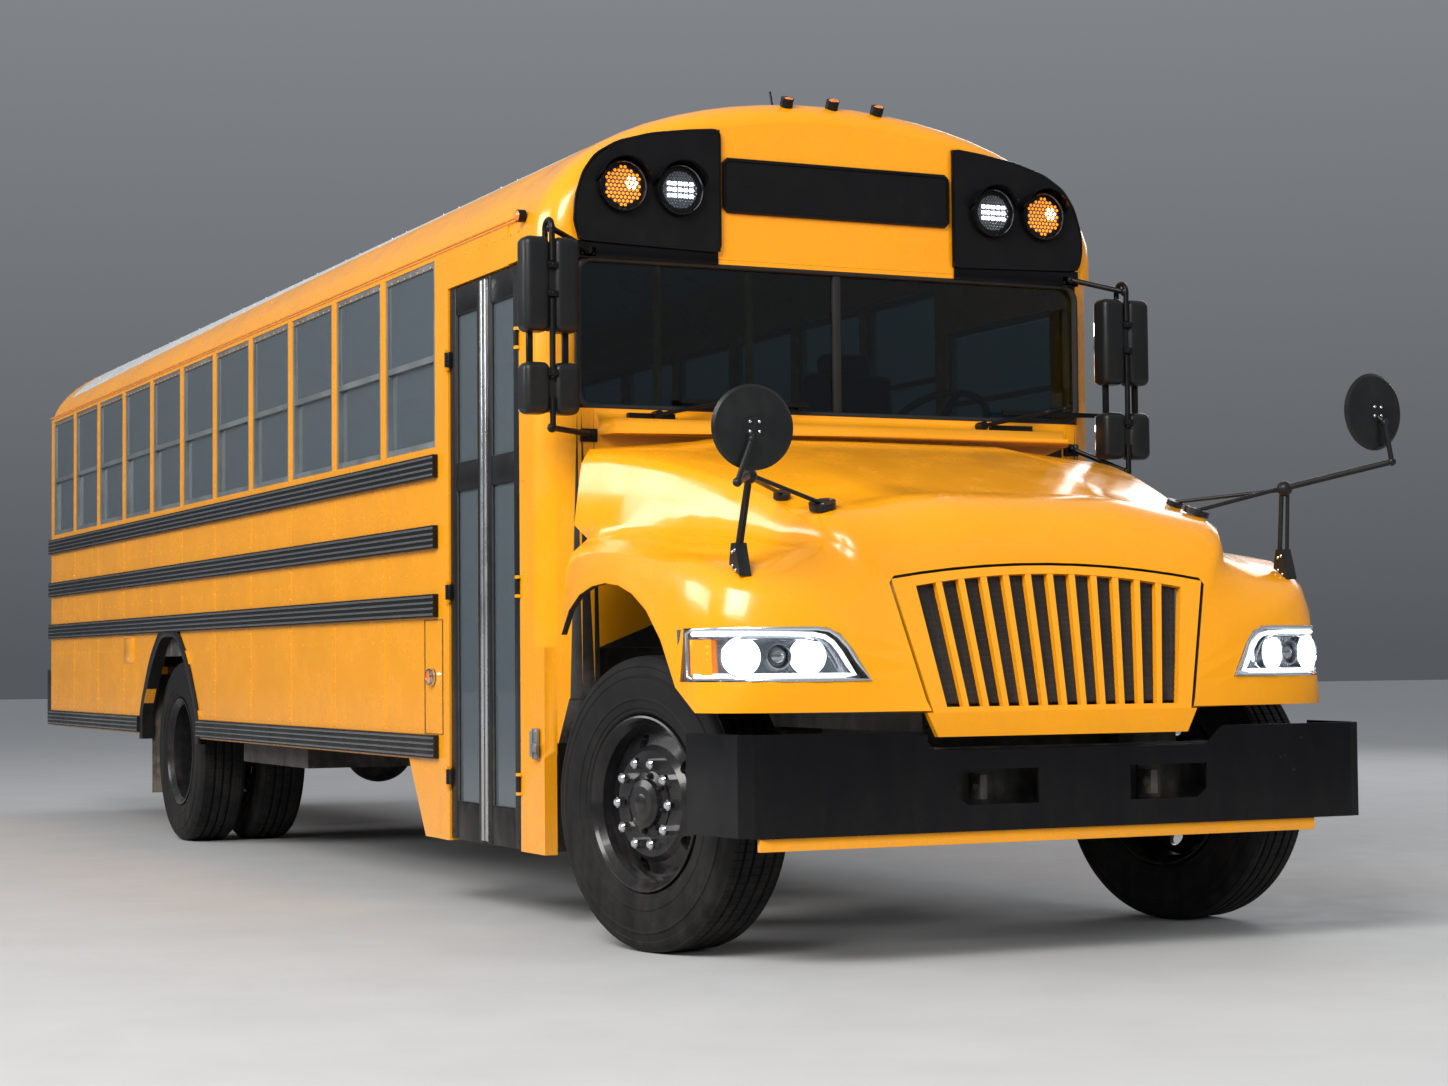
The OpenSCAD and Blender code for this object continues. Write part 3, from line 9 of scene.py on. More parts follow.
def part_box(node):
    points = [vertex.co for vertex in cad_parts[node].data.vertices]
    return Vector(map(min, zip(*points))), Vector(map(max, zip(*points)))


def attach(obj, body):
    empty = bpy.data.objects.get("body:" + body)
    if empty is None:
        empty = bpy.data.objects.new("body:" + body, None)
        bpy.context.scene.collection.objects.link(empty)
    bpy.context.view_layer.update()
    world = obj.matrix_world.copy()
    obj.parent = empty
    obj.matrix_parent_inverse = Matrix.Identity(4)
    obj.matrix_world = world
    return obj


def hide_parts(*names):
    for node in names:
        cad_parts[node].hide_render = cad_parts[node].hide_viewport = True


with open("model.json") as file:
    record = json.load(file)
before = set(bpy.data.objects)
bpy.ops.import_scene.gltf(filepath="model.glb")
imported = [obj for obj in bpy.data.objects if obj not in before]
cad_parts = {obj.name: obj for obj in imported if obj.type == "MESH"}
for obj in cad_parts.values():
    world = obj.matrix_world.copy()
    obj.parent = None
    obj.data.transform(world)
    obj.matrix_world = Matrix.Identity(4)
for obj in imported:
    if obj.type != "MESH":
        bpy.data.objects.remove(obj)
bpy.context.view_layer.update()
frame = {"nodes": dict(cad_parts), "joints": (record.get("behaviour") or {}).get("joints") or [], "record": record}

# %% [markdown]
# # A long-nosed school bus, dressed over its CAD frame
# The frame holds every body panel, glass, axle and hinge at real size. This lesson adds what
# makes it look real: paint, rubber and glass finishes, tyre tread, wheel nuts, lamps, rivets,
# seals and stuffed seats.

scene = bpy.context.scene
joints = {j["name"]: j for j in frame["joints"]}
FRONT = joints["right_steer"]["pos_m"][0]
REAR_AXLE = joints["rear_right_spin"]["pos_m"][0]
# stations of the CAD body: lengths run back from the front axle, heights up from the road
HALF = 1.219                                               # half the width over the side walls
FACE = FRONT - 0.750                                       # the wall that holds the windshield
WALL_FRONT = FRONT - 1.998                                 # the two ends of the side windows' wall
WALL_REAR = FRONT - 10.079
DOOR_FRONT, DOOR_REAR = FRONT - 1.057, FRONT - 1.870       # the jambs of the entrance
BATTERY_X = DOOR_REAR - 0.201                              # the middle of the battery door
ARCH_MID = REAR_AXLE - 0.075                               # the middle of the rear wheel opening
BAYS, BAY = 11, 0.731                                      # side window bays and their pitch
RAILS = (1.758, 1.465, 1.181)                              # the lower edges of the long rub rails
FLOOR = 1.180                                              # the top of the cabin floor

# %% [markdown]
# ## Camera, lights and floor
# A long lens low beside the right front corner, level with a person's waist, shows the nose and
# the door side together. Four large soft lamps and a plain world act as a studio: the world is
# brighter overhead, so dark glass and gloss black have something smooth to reflect.

# %% Camera
def aim(position, yaw, pitch, roll):
    y, p, c = math.radians(yaw), math.radians(pitch), math.radians(roll)
    look = Vector((math.cos(p) * math.cos(y), math.cos(p) * math.sin(y), math.sin(p)))
    right = Vector((math.sin(y), -math.cos(y), 0))
    up = right.cross(look)
    right, up = right * math.cos(c) + up * math.sin(c), up * math.cos(c) - right * math.sin(c)
    turn = Matrix((right, up, -look)).transposed().to_4x4()
    return Matrix.Translation(position) @ turn

lens = bpy.data.cameras.new("camera")
lens.lens, lens.sensor_width, lens.clip_end = 66.30, 36.0, 300.0
camera = bpy.data.objects.new("camera", lens)
camera.matrix_world = aim((FRONT + 8.453, -4.836, 0.991), 154.7906, 2.5287, -0.4987)
scene.collection.objects.link(camera)
scene.camera = camera

# %% Lights and world
def soft_light(name, place, target, size, power, colour=(1, 1, 1), seen=True):
    data = bpy.data.lights.new(name, "AREA")
    data.shape, data.size, data.size_y, data.energy, data.color = "RECTANGLE", size[0], size[1], power, colour
    lamp = bpy.data.objects.new(name, data)
    lamp.visible_glossy = seen
    lamp.visible_transmission = False
    direction = Vector(target) - Vector(place)
    lamp.matrix_world = Matrix.Translation(place) @ direction.to_track_quat("-Z", "Y").to_matrix().to_4x4()
    scene.collection.objects.link(lamp)
    return lamp

soft_light("key_light", (FRONT + 6.5, -9.5, 9.0), (FRONT - 2, 0, 1.4), (7, 5), 1900, (1.0, 0.97, 0.92))
soft_light("side_light", (-3.0, -13.0, 7.0), (-1.5, 0, 1.6), (10, 4), 950)
soft_light("nose_light", (FRONT + 11.0, 5.0, 5.5), (FRONT, 0, 1.5), (6, 4), 420, seen=False)
soft_light("far_light", (-6.0, 12.0, 8.0), (-2, 0, 1.5), (10, 5), 450)
world = bpy.data.worlds.new("studio")
world.use_nodes = True
sky = world.node_tree
coords = sky.nodes.new("ShaderNodeTexCoord")
split = sky.nodes.new("ShaderNodeSeparateXYZ")
fade = sky.nodes.new("ShaderNodeValToRGB")
sky.links.new(coords.outputs["Generated"], split.inputs[0])
sky.links.new(split.outputs["Z"], fade.inputs[0])
fade.color_ramp.elements[0].position, fade.color_ramp.elements[0].color = 0.0, (0.20, 0.22, 0.24, 1)
fade.color_ramp.elements[1].position, fade.color_ramp.elements[1].color = 0.55, (0.86, 0.90, 0.96, 1)
sky.links.new(fade.outputs[0], sky.nodes["Background"].inputs[0])
sky.nodes["Background"].inputs[1].default_value = 0.45
scene.world = world
scene.view_settings.view_transform = "Standard"

# %% [markdown]
# ## A kit of finishes
# Every finish is built from the same few layers: a base colour that drifts slightly over the
# panel, road dust that is thickest low down and runs in vertical streaks, small chips or
# scratches, and a fine bump. Patterns use Object coordinates, so they stay on the piece.

# %% Finish kit
def put(tree, kind, **values):
    made = tree.nodes.new(kind)
    for key, value in values.items():
        setattr(made, key, value)
    return made

def noise(tree, scale, detail=3.0, stretch=(1, 1, 1), rough=0.55):
    place = put(tree, "ShaderNodeTexCoord")
    spread = put(tree, "ShaderNodeMapping")
    spread.inputs["Scale"].default_value = stretch
    grain = put(tree, "ShaderNodeTexNoise")
    grain.inputs["Scale"].default_value = scale
    grain.inputs["Detail"].default_value = detail
    grain.inputs["Roughness"].default_value = rough
    tree.links.new(place.outputs["Object"], spread.inputs[0])
    tree.links.new(spread.outputs[0], grain.inputs["Vector"])
    return grain.outputs["Fac"]

def band(tree, value, low, high, out_low=0.0, out_high=1.0):
    made = put(tree, "ShaderNodeMapRange", clamp=True)
    for slot, number in zip((1, 2, 3, 4), (low, high, out_low, out_high)):
        made.inputs[slot].default_value = number
    tree.links.new(value, made.inputs[0])
    return made.outputs[0]

def maths(tree, kind, first, second):
    made = put(tree, "ShaderNodeMath", operation=kind, use_clamp=kind in ("MULTIPLY", "ADD"))
    for slot, value in enumerate((first, second)):
        if isinstance(value, (int, float)):
            made.inputs[slot].default_value = value
        else:
            tree.links.new(value, made.inputs[slot])
    return made.outputs[0]

def blend_colour(tree, factor, first, second):
    made = put(tree, "ShaderNodeMix", data_type="RGBA")
    tree.links.new(factor, made.inputs[0])
    for slot, value in ((6, first), (7, second)):
        if isinstance(value, tuple):
            made.inputs[slot].default_value = (*value, 1)
        else:
            tree.links.new(value, made.inputs[slot])
    return made.outputs[2]

def height(tree, axis="Z"):
    place = put(tree, "ShaderNodeTexCoord")
    parts = put(tree, "ShaderNodeSeparateXYZ")
    tree.links.new(place.outputs["Object"], parts.inputs[0])
    return parts.outputs[axis]

DUST = (0.20, 0.165, 0.125)

def finish(name, colour, rough, metal=0.0, coat=0.0, drift=0.10, dust=0.25, dust_top=1.1, chips=0.0,
           chip_colour=(0.12, 0.10, 0.09), grain=(220.0, 0.04), swell=(2.0, 0.0), rough_drift=0.10,
           see_through=0.0, glow=0.0, glow_colour=None, spread=None, sheen=0.0, weave=0.0, ior=1.5):
    mat = bpy.data.materials.new(name)
    mat.use_nodes = True
    tree = mat.node_tree
    shader = tree.nodes["Principled BSDF"]
    shader.inputs["Metallic"].default_value = metal
    shader.inputs["Coat Weight"].default_value = coat
    shader.inputs["Coat Roughness"].default_value = 0.06
    shader.inputs["IOR"].default_value = ior
    shader.inputs["Transmission Weight"].default_value = see_through
    shader.inputs["Sheen Weight"].default_value = sheen
    base = spread(tree) if spread else colour
    darker = tuple(c * (1 - drift) for c in colour)
    cloud = band(tree, noise(tree, 1.7, 5), 0.35, 0.70, 0.0, 1.0)
    if spread:
        tinted = put(tree, "ShaderNodeMix", data_type="RGBA", blend_type="MULTIPLY")
        tree.links.new(maths(tree, "MULTIPLY", cloud, drift), tinted.inputs[0])
        tree.links.new(base, tinted.inputs[6])
        tinted.inputs[7].default_value = (0.3, 0.3, 0.3, 1)
        painted = tinted.outputs[2]
    else:
        painted = blend_colour(tree, cloud, colour, darker)
    speck = band(tree, noise(tree, 38, 4), 0.52, 0.75, 0.0, 0.35)
    painted = blend_colour(tree, maths(tree, "MULTIPLY", speck, drift * 2.2), painted,
                           tuple(c * 0.6 for c in colour))
    roughness = band(tree, noise(tree, 6, 5), 0.3, 0.7, max(0.02, rough - rough_drift),
                     min(1.0, rough + rough_drift))
    if dust > 0:
        low = band(tree, height(tree), 0.20, dust_top, 1.0, 0.0)
        streak = band(tree, noise(tree, 7, 5, (2.2, 2.2, 0.35)), 0.40, 0.68)
        splash = band(tree, noise(tree, 22, 6), 0.45, 0.70)
        broken = maths(tree, "ADD", streak, maths(tree, "MULTIPLY", splash, 0.6))
        layer = maths(tree, "MULTIPLY", maths(tree, "MULTIPLY", low, broken), dust * 2.2)
        faint = maths(tree, "MULTIPLY", maths(tree, "MULTIPLY", streak, splash), dust * 0.35)
        cover = maths(tree, "ADD", layer, faint)
        painted = blend_colour(tree, cover, painted, DUST)
        roughness = maths(tree, "ADD", roughness, maths(tree, "MULTIPLY", cover, 0.45))
    relief = band(tree, noise(tree, grain[0], 3), 0.3, 0.7)
    if chips > 0:
        patch = band(tree, noise(tree, 1.1, 3), 0.56, 0.66)
        flake = band(tree, noise(tree, 26, 5, (1, 1, 1), 0.7), 0.66, 0.68)
        line = band(tree, noise(tree, 3.2, 4, (0.6, 0.6, 9.0), 0.7), 0.705, 0.715)
        chip = maths(tree, "MULTIPLY", maths(tree, "ADD", maths(tree, "MULTIPLY", flake, patch),
                                             maths(tree, "MULTIPLY", line, patch)), chips)
        painted = blend_colour(tree, chip, painted, chip_colour)
        roughness = maths(tree, "ADD", roughness, maths(tree, "MULTIPLY", chip, 0.4))
    if weave > 0:
        across = put(tree, "ShaderNodeTexWave", wave_type="BANDS", bands_direction="X")
        along = put(tree, "ShaderNodeTexWave", wave_type="BANDS", bands_direction="Z")
        side = put(tree, "ShaderNodeTexWave", wave_type="BANDS", bands_direction="Y")
        place = put(tree, "ShaderNodeTexCoord")
        for made in (across, along, side):
            made.inputs["Scale"].default_value = weave
            tree.links.new(place.outputs["Object"], made.inputs["Vector"])
        threads = maths(tree, "MULTIPLY", maths(tree, "ADD", across.outputs[1], along.outputs[1]),
                        side.outputs[1])
        relief = maths(tree, "ADD", maths(tree, "MULTIPLY", relief, 0.4),
                       maths(tree, "MULTIPLY", threads, 0.6))
        # the cloth is darker where the weave is low: painted shade in the gaps between threads
        painted = blend_colour(tree, band(tree, threads, 0.0, 1.0, 0.25, 0.0), painted,
                               tuple(c * 0.45 for c in colour))
    fine = put(tree, "ShaderNodeBump")
    fine.inputs["Strength"].default_value = grain[1]
    fine.inputs["Distance"].default_value = 0.002
    tree.links.new(relief, fine.inputs["Height"])
    if swell[1] > 0:
        wide = put(tree, "ShaderNodeBump")
        wide.inputs["Strength"].default_value = swell[1]
        wide.inputs["Distance"].default_value = 0.03
        tree.links.new(noise(tree, swell[0], 1), wide.inputs["Height"])
        tree.links.new(wide.outputs[0], fine.inputs["Normal"])
    tree.links.new(painted, shader.inputs["Base Color"])
    tree.links.new(roughness, shader.inputs["Roughness"])
    tree.links.new(fine.outputs[0], shader.inputs["Normal"])
    if glow > 0:
        shader.inputs["Emission Color"].default_value = (*(glow_colour or colour), 1)
        shader.inputs["Emission Strength"].default_value = glow
    return mat

# %% [markdown]
# ## The finishes of the bus
# Fleet yellow is a warm golden enamel with a clear, slightly rippled gloss. The middle of the
# roof is white to keep the cabin cool, with yellow left along the eaves and over both ends, so
# the roof's finish picks its colour by height and by distance along the bus.

# %% Named finishes
YELLOW = (0.97, 0.375, 0.003)
WHITE = (0.78, 0.80, 0.80)

def roof_colours(tree):
    # the line between the colours drops a little towards the tail
    level = put(tree, "ShaderNodeMath", operation="MULTIPLY_ADD")
    level.inputs[1].default_value, level.inputs[2].default_value = -0.019, 0.0
    tree.links.new(height(tree, "X"), level.inputs[0])
    tree.links.new(height(tree, "Z"), level.inputs[2])
    over_eaves = band(tree, level.outputs[0], 2.910, 2.914)
    behind_cap = band(tree, height(tree, "X"), FACE - 0.430, FACE - 0.426, 1.0, 0.0)
    before_tail = band(tree, height(tree, "X"), WALL_REAR + 0.300, WALL_REAR + 0.304)
    white = maths(tree, "MULTIPLY", maths(tree, "MULTIPLY", over_eaves, behind_cap), before_tail)
    return blend_colour(tree, white, YELLOW, WHITE)

F = {
    "body_paint": finish("fleet_yellow_enamel", YELLOW, 0.24, coat=0.30, drift=0.07, dust=0.05,
                         dust_top=0.95, chips=0.55, chip_colour=(0.20, 0.09, 0.03), grain=(420, 0.018),
                         swell=(2.3, 0.06)),
    "roof_paint": finish("two_tone_roof_enamel", YELLOW, 0.32, coat=0.20, drift=0.10, dust=0.06,
                         dust_top=4.5, chips=0.6, chip_colour=(0.30, 0.27, 0.24), grain=(420, 0.02),
                         swell=(2.3, 0.10), spread=roof_colours),
    "chassis_black": finish("chassis_enamel", (0.012, 0.012, 0.013), 0.52, dust=0.16, dust_top=1.3,
                            chips=0.8, chip_colour=(0.16, 0.07, 0.035), grain=(160, 0.15)),
    "engine_grey": finish("cast_engine_grey", (0.13, 0.135, 0.14), 0.55, metal=0.4, dust=0.5, dust_top=2.5,
                          grain=(90, 0.3)),
    "floor_rubber": finish("ribbed_floor_rubber", (0.025, 0.025, 0.027), 0.66, dust=0.25, dust_top=2.6,
                           grain=(120, 0.25)),
    "tinted_glass": finish("tinted_window_glass", (0.23, 0.29, 0.33), 0.025, drift=0.04, dust=0.015,
                           grain=(6, 0.004), rough_drift=0.012, see_through=0.70),
    "windshield_glass": finish("windshield_glass", (0.30, 0.41, 0.45), 0.02, drift=0.03, dust=0.01,
                               grain=(6, 0.003), rough_drift=0.01, see_through=1.0),
    "window_metal": finish("brushed_window_aluminium", (0.34, 0.37, 0.38), 0.40, metal=0.85, dust=0.12,
                           dust_top=3.2, grain=(300, 0.06)),
    "trim_black": finish("black_trim_enamel", (0.006, 0.006, 0.007), 0.36, ior=1.30, coat=0.0, dust=0.05,
                         dust_top=1.3, chips=0.5, chip_colour=(0.10, 0.10, 0.10), grain=(260, 0.06)),
    "gloss_black": finish("gloss_black_enamel", (0.004, 0.004, 0.005), 0.17, ior=1.26, coat=0.06,
                          dust=0.008, dust_top=0.95, chips=0.45, chip_colour=(0.09, 0.08, 0.08),
                          grain=(300, 0.02), swell=(3.0, 0.04)),
    "exhaust_steel": finish("heat_stained_steel", (0.22, 0.17, 0.13), 0.50, metal=0.8, dust=0.4,
                            dust_top=1.2, grain=(120, 0.2)),
    "seat_vinyl": finish("grained_seat_vinyl", (0.045, 0.060, 0.085), 0.46, drift=0.15, dust=0.0,
                         grain=(420, 0.35), sheen=0.1),
    "seat_fabric": finish("woven_seat_cloth", (0.030, 0.031, 0.036), 0.85, drift=0.15, dust=0.0,
                          grain=(300, 0.3), sheen=0.4, weave=260),
    "cab_plastic": finish("grained_cab_plastic", (0.026, 0.026, 0.028), 0.55, dust=0.05, dust_top=2.4,
                          grain=(380, 0.25)),
    "mirror_plastic": finish("moulded_mirror_plastic", (0.009, 0.010, 0.011), 0.38, ior=1.34, coat=0.05,
                             dust=0.03, dust_top=2.6, grain=(420, 0.12)),
    "lamp_red": finish("moulded_red_lens", (0.42, 0.010, 0.008), 0.12, coat=0.8, dust=0.08, dust_top=1.6,
                       grain=(60, 0.2)),
    "flap_rubber": finish("flap_rubber", (0.022, 0.022, 0.023), 0.70, dust=0.6, dust_top=0.9,
                          grain=(90, 0.2)),
    "rail_yellow": finish("hand_rail_yellow", (0.80, 0.48, 0.02), 0.35, coat=0.3, dust=0.05, chips=0.4,
                          grain=(240, 0.05)),
    "lamp_clear": finish("clear_lamp_cover", (0.97, 0.98, 1.0), 0.02, dust=0.01, drift=0.01,
                         grain=(10, 0.003), rough_drift=0.01, see_through=1.0, coat=0.6, ior=1.06),
    "sign_red": finish("stop_arm_red", (0.52, 0.012, 0.010), 0.30, coat=0.3, dust=0.08, dust_top=2.0,
                       chips=0.4, grain=(300, 0.03)),
    "tyre": finish("dusty_tyre_rubber", (0.008, 0.008, 0.009), 0.70, ior=1.28, drift=0.20, dust=0.03,
                   dust_top=1.0, grain=(150, 0.18)),
    "rim_black": finish("gloss_wheel_black", (0.010, 0.010, 0.012), 0.22, ior=1.34, coat=0.15, dust=0.04,
                        dust_top=1.0, chips=0.4, chip_colour=(0.12, 0.09, 0.07), grain=(240, 0.04)),
    "chrome": finish("polished_chrome", (0.70, 0.71, 0.73), 0.12, metal=1.0, drift=0.08, dust=0.06,
                     dust_top=1.0, grain=(200, 0.03)),
    "seal_silver": finish("anodised_seal_strip", (0.66, 0.68, 0.70), 0.26, metal=0.9, dust=0.08,
                          dust_top=1.2, grain=(300, 0.05)),
    "seal_rubber": finish("black_seal_rubber", (0.012, 0.012, 0.013), 0.60, dust=0.12, dust_top=1.2,
                          grain=(200, 0.12)),
    "lamp_grey": finish("satin_lamp_reflector", (0.45, 0.47, 0.50), 0.18, metal=0.9, dust=0.0,
                        grain=(120, 0.2)),
    "white_glow": finish("lit_white_lamp", (0.9, 0.95, 1.0), 0.2, dust=0.0, grain=(90, 0.05), glow=9.0),
    "soft_glow": finish("lit_light_guide", (0.85, 0.92, 1.0), 0.25, dust=0.0, grain=(90, 0.05), glow=1.3),
    "amber_glow": finish("lit_amber_lamp", (1.0, 0.27, 0.01), 0.2, dust=0.0, grain=(90, 0.1), glow=1.3),
    "amber_lens": finish("amber_lens", (0.75, 0.17, 0.01), 0.12, coat=0.6, dust=0.04, grain=(45, 0.3),
                         glow=0.35),
    "dark_lens": finish("smoked_lamp_lens", (0.05, 0.06, 0.075), 0.08, coat=0.8, dust=0.03, grain=(50, 0.1)),
    "sign_white": finish("sign_white_enamel", (0.75, 0.75, 0.74), 0.32, coat=0.3, dust=0.08, dust_top=2.0,
                         grain=(300, 0.03)),
    # the ribs' lighter grey base colour is a painted highlight; their gloss and coat are real
    "rib_black": finish("polished_rail_rib", (0.075, 0.080, 0.085), 0.22, coat=0.5, dust=0.05, dust_top=1.3,
                        grain=(260, 0.04)),
    "mirror_glass": finish("silvered_mirror", (0.80, 0.82, 0.84), 0.04, metal=1.0, drift=0.03, dust=0.02,
                           grain=(8, 0.004), rough_drift=0.015),
}
print(len(F), "finishes")

# %% [markdown]
# ## Dressing the CAD nodes
# Each CAD node keeps its shape and takes the finish of its own material slot in the record.

# %% Dress the frame
slot_of = {p["node"]: p["material_slot"] for p in frame["record"]["subparts"]}
for name, piece in frame["nodes"].items():
    piece.data.materials.clear()
    piece.data.materials.append(F[slot_of[name]])
print("dressed", len(slot_of), "nodes")

# %% [markdown]
# ## Helpers for new pieces
# A bmesh starts from a primitive or a few points and is shaped with operators. These helpers
# add a bevelled box, a rod, a turned ring or a tube to a bmesh, and `settle` turns the bmesh into
# a piece that rides on a CAD body. Every shape is drawn where it belongs, so the object stays
# at the origin.

# %% Shape helpers
def add_box(bm, low, high, bevel=0.0, steps=2, turn=None):
    low, high = [min(pair) for pair in zip(low, high)], [max(pair) for pair in zip(low, high)]
    made = bmesh.ops.create_cube(bm, size=1.0)["verts"]
    centre = [(a + b) / 2 for a, b in zip(low, high)]
    bmesh.ops.scale(bm, vec=[b - a for a, b in zip(low, high)], verts=made)
    if turn is not None:
        bmesh.ops.transform(bm, matrix=turn, verts=made)
    bmesh.ops.translate(bm, vec=centre, verts=made)
    if bevel > 0:
        edges = list({e for v in made for e in v.link_edges})
        bmesh.ops.bevel(bm, geom=edges, offset=bevel, offset_type="OFFSET", affect="EDGES", segments=steps,
                        profile=0.5, material=-1, clamp_overlap=True)

def add_rod(bm, start, end, radius, sides=14, end_radius=None):
    start, end = Vector(start), Vector(end)
    turn = (end - start).to_track_quat("Z", "Y").to_matrix().to_4x4()
    place = Matrix.Translation((start + end) / 2) @ turn
    return bmesh.ops.create_cone(bm, cap_ends=True, segments=sides, radius1=radius,
                                 radius2=radius if end_radius is None else end_radius,
                                 depth=(end - start).length, matrix=place)["verts"]

def add_ball(bm, centre, radius, scale=(1, 1, 1), u=10, v=6):
    place = Matrix.Translation(centre) @ Matrix.Diagonal((*scale, 1))
    return bmesh.ops.create_uvsphere(bm, u_segments=u, v_segments=v, radius=radius, matrix=place)["verts"]

def add_turned(bm, profile, place=None, steps=48, closed=False):
    # profile is (radius, distance along local Y); it is turned about local Y
    points = [bm.verts.new((r, y, 0)) for r, y in profile]
    edges = [bm.edges.new(pair) for pair in zip(points, points[1:])]
    if closed:
        edges.append(bm.edges.new((points[-1], points[0])))
    before = set(bm.verts) - set(points)
    bmesh.ops.spin(bm, geom=points + edges, cent=(0, 0, 0), axis=(0, 1, 0), angle=math.tau, steps=steps,
                   use_merge=True, use_duplicate=False)
    made = [v for v in bm.verts if v not in before]
    bmesh.ops.remove_doubles(bm, verts=made, dist=1e-6)
    made = [v for v in bm.verts if v not in before]
    if place is not None:
        bmesh.ops.transform(bm, matrix=place, verts=made)
    return made

def add_tube(bm, path, radius, sides=8, closed=False, flat=1.0):
    # a ring is drawn at each point of the path and neighbouring rings are bridged
    path = [Vector(p) for p in path]
    rings = []
    for i, point in enumerate(path):
        ahead = path[(i + 1) % len(path)] if closed or i + 1 < len(path) else point
        behind = path[i - 1] if closed or i > 0 else point
        turn = (ahead - behind).to_track_quat("Z", "Y").to_matrix().to_4x4()
        place = Matrix.Translation(point) @ turn @ Matrix.Diagonal((1, flat, 1, 1))
        ring = bmesh.ops.create_circle(bm, cap_ends=False, segments=sides, radius=radius,
                                       matrix=place)["verts"]
        rings.append(list({e for v in ring for e in v.link_edges}))
    pairs = list(zip(rings, rings[1:])) + ([(rings[-1], rings[0])] if closed else [])
    for first, second in pairs:
        bmesh.ops.bridge_loops(bm, edges=first + second)
    if not closed:
        for loop in (rings[0], rings[-1]):
            bmesh.ops.contextual_create(bm, geom=loop)

def settle(name, bm, mat, body, smooth=40, fix=True):
    if fix:
        bmesh.ops.recalc_face_normals(bm, faces=bm.faces)
    mesh = bpy.data.meshes.new(name)
    bm.to_mesh(mesh)
    bm.free()
    mesh.materials.append(F[mat])
    for face in mesh.polygons:
        face.use_smooth = True
    mesh.set_sharp_from_angle(angle=math.radians(smooth))
    piece = bpy.data.objects.new(name, mesh)
    scene.collection.objects.link(piece)
    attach(piece, body)
    print(name, len(mesh.polygons), "faces on", body)
    return piece

# %% [markdown]
# ## Smooth copies of the curved panels
# The hood, the front cap, the cowl and the roof are many flat facets. A copy is welded and shaded
# smooth, with real corners left sharp, and it stands for the node: the shape is the same, only
# the light rolls over it as over pressed steel. The underside of the hood and the wheel wells
# take black as a second finish on the same copy.

# %% Smooth panels
def smooth_copy(node, mat, body, angle=32, lined=None):
    bm = bmesh.new()
    bm.from_mesh(frame["nodes"][node].data)
    bmesh.ops.remove_doubles(bm, verts=bm.verts, dist=2e-5)
    bmesh.ops.dissolve_degenerate(bm, dist=1e-6, edges=bm.edges)
    bmesh.ops.recalc_face_normals(bm, faces=bm.faces)
    bm.faces.ensure_lookup_table()
    inside = [f.index for f in bm.faces if lined and lined(f.calc_center_median(), f.normal)]
    piece = settle(node + "_skin", bm, mat, body, angle, fix=False)
    if lined:
        piece.data.materials.append(F["chassis_black"])
        for i in inside:
            piece.data.polygons[i].material_index = 1
    even = piece.modifiers.new("even_shading", "WEIGHTED_NORMAL")
    even.weight, even.keep_sharp = 100, True
    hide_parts(node)
    return piece

def in_wheel_well(spot, facing):
    return abs(spot.y) < 1.12 and spot.z < 1.33 and FRONT - 0.85 < spot.x < FRONT + 0.60 and facing.z < 0.2

def under_hood(spot, facing):
    # the underside of the hood and the liners over the wheels are left in black undercoat
    return facing.dot(spot - Vector((FRONT + 0.1, 0, 0.95))) < -0.02 or in_wheel_well(spot, facing)

smooth_copy("hood", "body_paint", "hood", 28, under_hood)
smooth_copy("front_cap", "body_paint", "body", 32)
smooth_copy("cowl", "body_paint", "body", 32, in_wheel_well)
smooth_copy("roof", "roof_paint", "body", 20)

# %% [markdown]
# ## Tyres
# A truck tyre is a turned shape: ribs and grooves run right round, so its outline is spun about
# the axle. The ribs are then cut into blocks by insetting each rib face and lifting it, which
# leaves narrow sipes between neighbours. The sidewall has thin raised rings, and no lettering.

# %% Tyre shape
TYRE_R, TYRE_W, RIM_R = 0.506, 0.276, 0.298

def tyre_outline(grooves, depth, gap):
    w = TYRE_W / 2
    side = [(RIM_R - 0.020, w - 0.060), (RIM_R - 0.006, w - 0.044), (RIM_R + 0.004, w - 0.026),
            (RIM_R + 0.012, w - 0.017), (RIM_R + 0.016, w - 0.014), (RIM_R + 0.026, w - 0.013),
            (RIM_R + 0.030, w - 0.009), (RIM_R + 0.055, w - 0.005), (RIM_R + 0.058, w - 0.002),
            (RIM_R + 0.064, w - 0.002), (RIM_R + 0.067, w - 0.004), (RIM_R + 0.110, w - 0.001),
            (TYRE_R - 0.075, w - 0.003), (TYRE_R - 0.072, w - 0.001), (TYRE_R - 0.066, w - 0.001),
            (TYRE_R - 0.063, w - 0.005), (TYRE_R - 0.040, w - 0.010), (TYRE_R - 0.037, w - 0.008),
            (TYRE_R - 0.028, w - 0.010), (TYRE_R - 0.018, w - 0.016), (TYRE_R - 0.007, w - 0.028)]
    top = [(TYRE_R - 0.0035, w - 0.044)]
    for middle in sorted(grooves, reverse=True):
        top += [(TYRE_R - 0.0035, middle + gap), (TYRE_R - depth, middle + gap * 0.55),
                (TYRE_R - depth, middle - gap * 0.55), (TYRE_R - 0.0035, middle - gap)]
    top.append((TYRE_R - 0.0035, 0.044 - w))
    return side + top + [(r, -y) for r, y in reversed(side)]

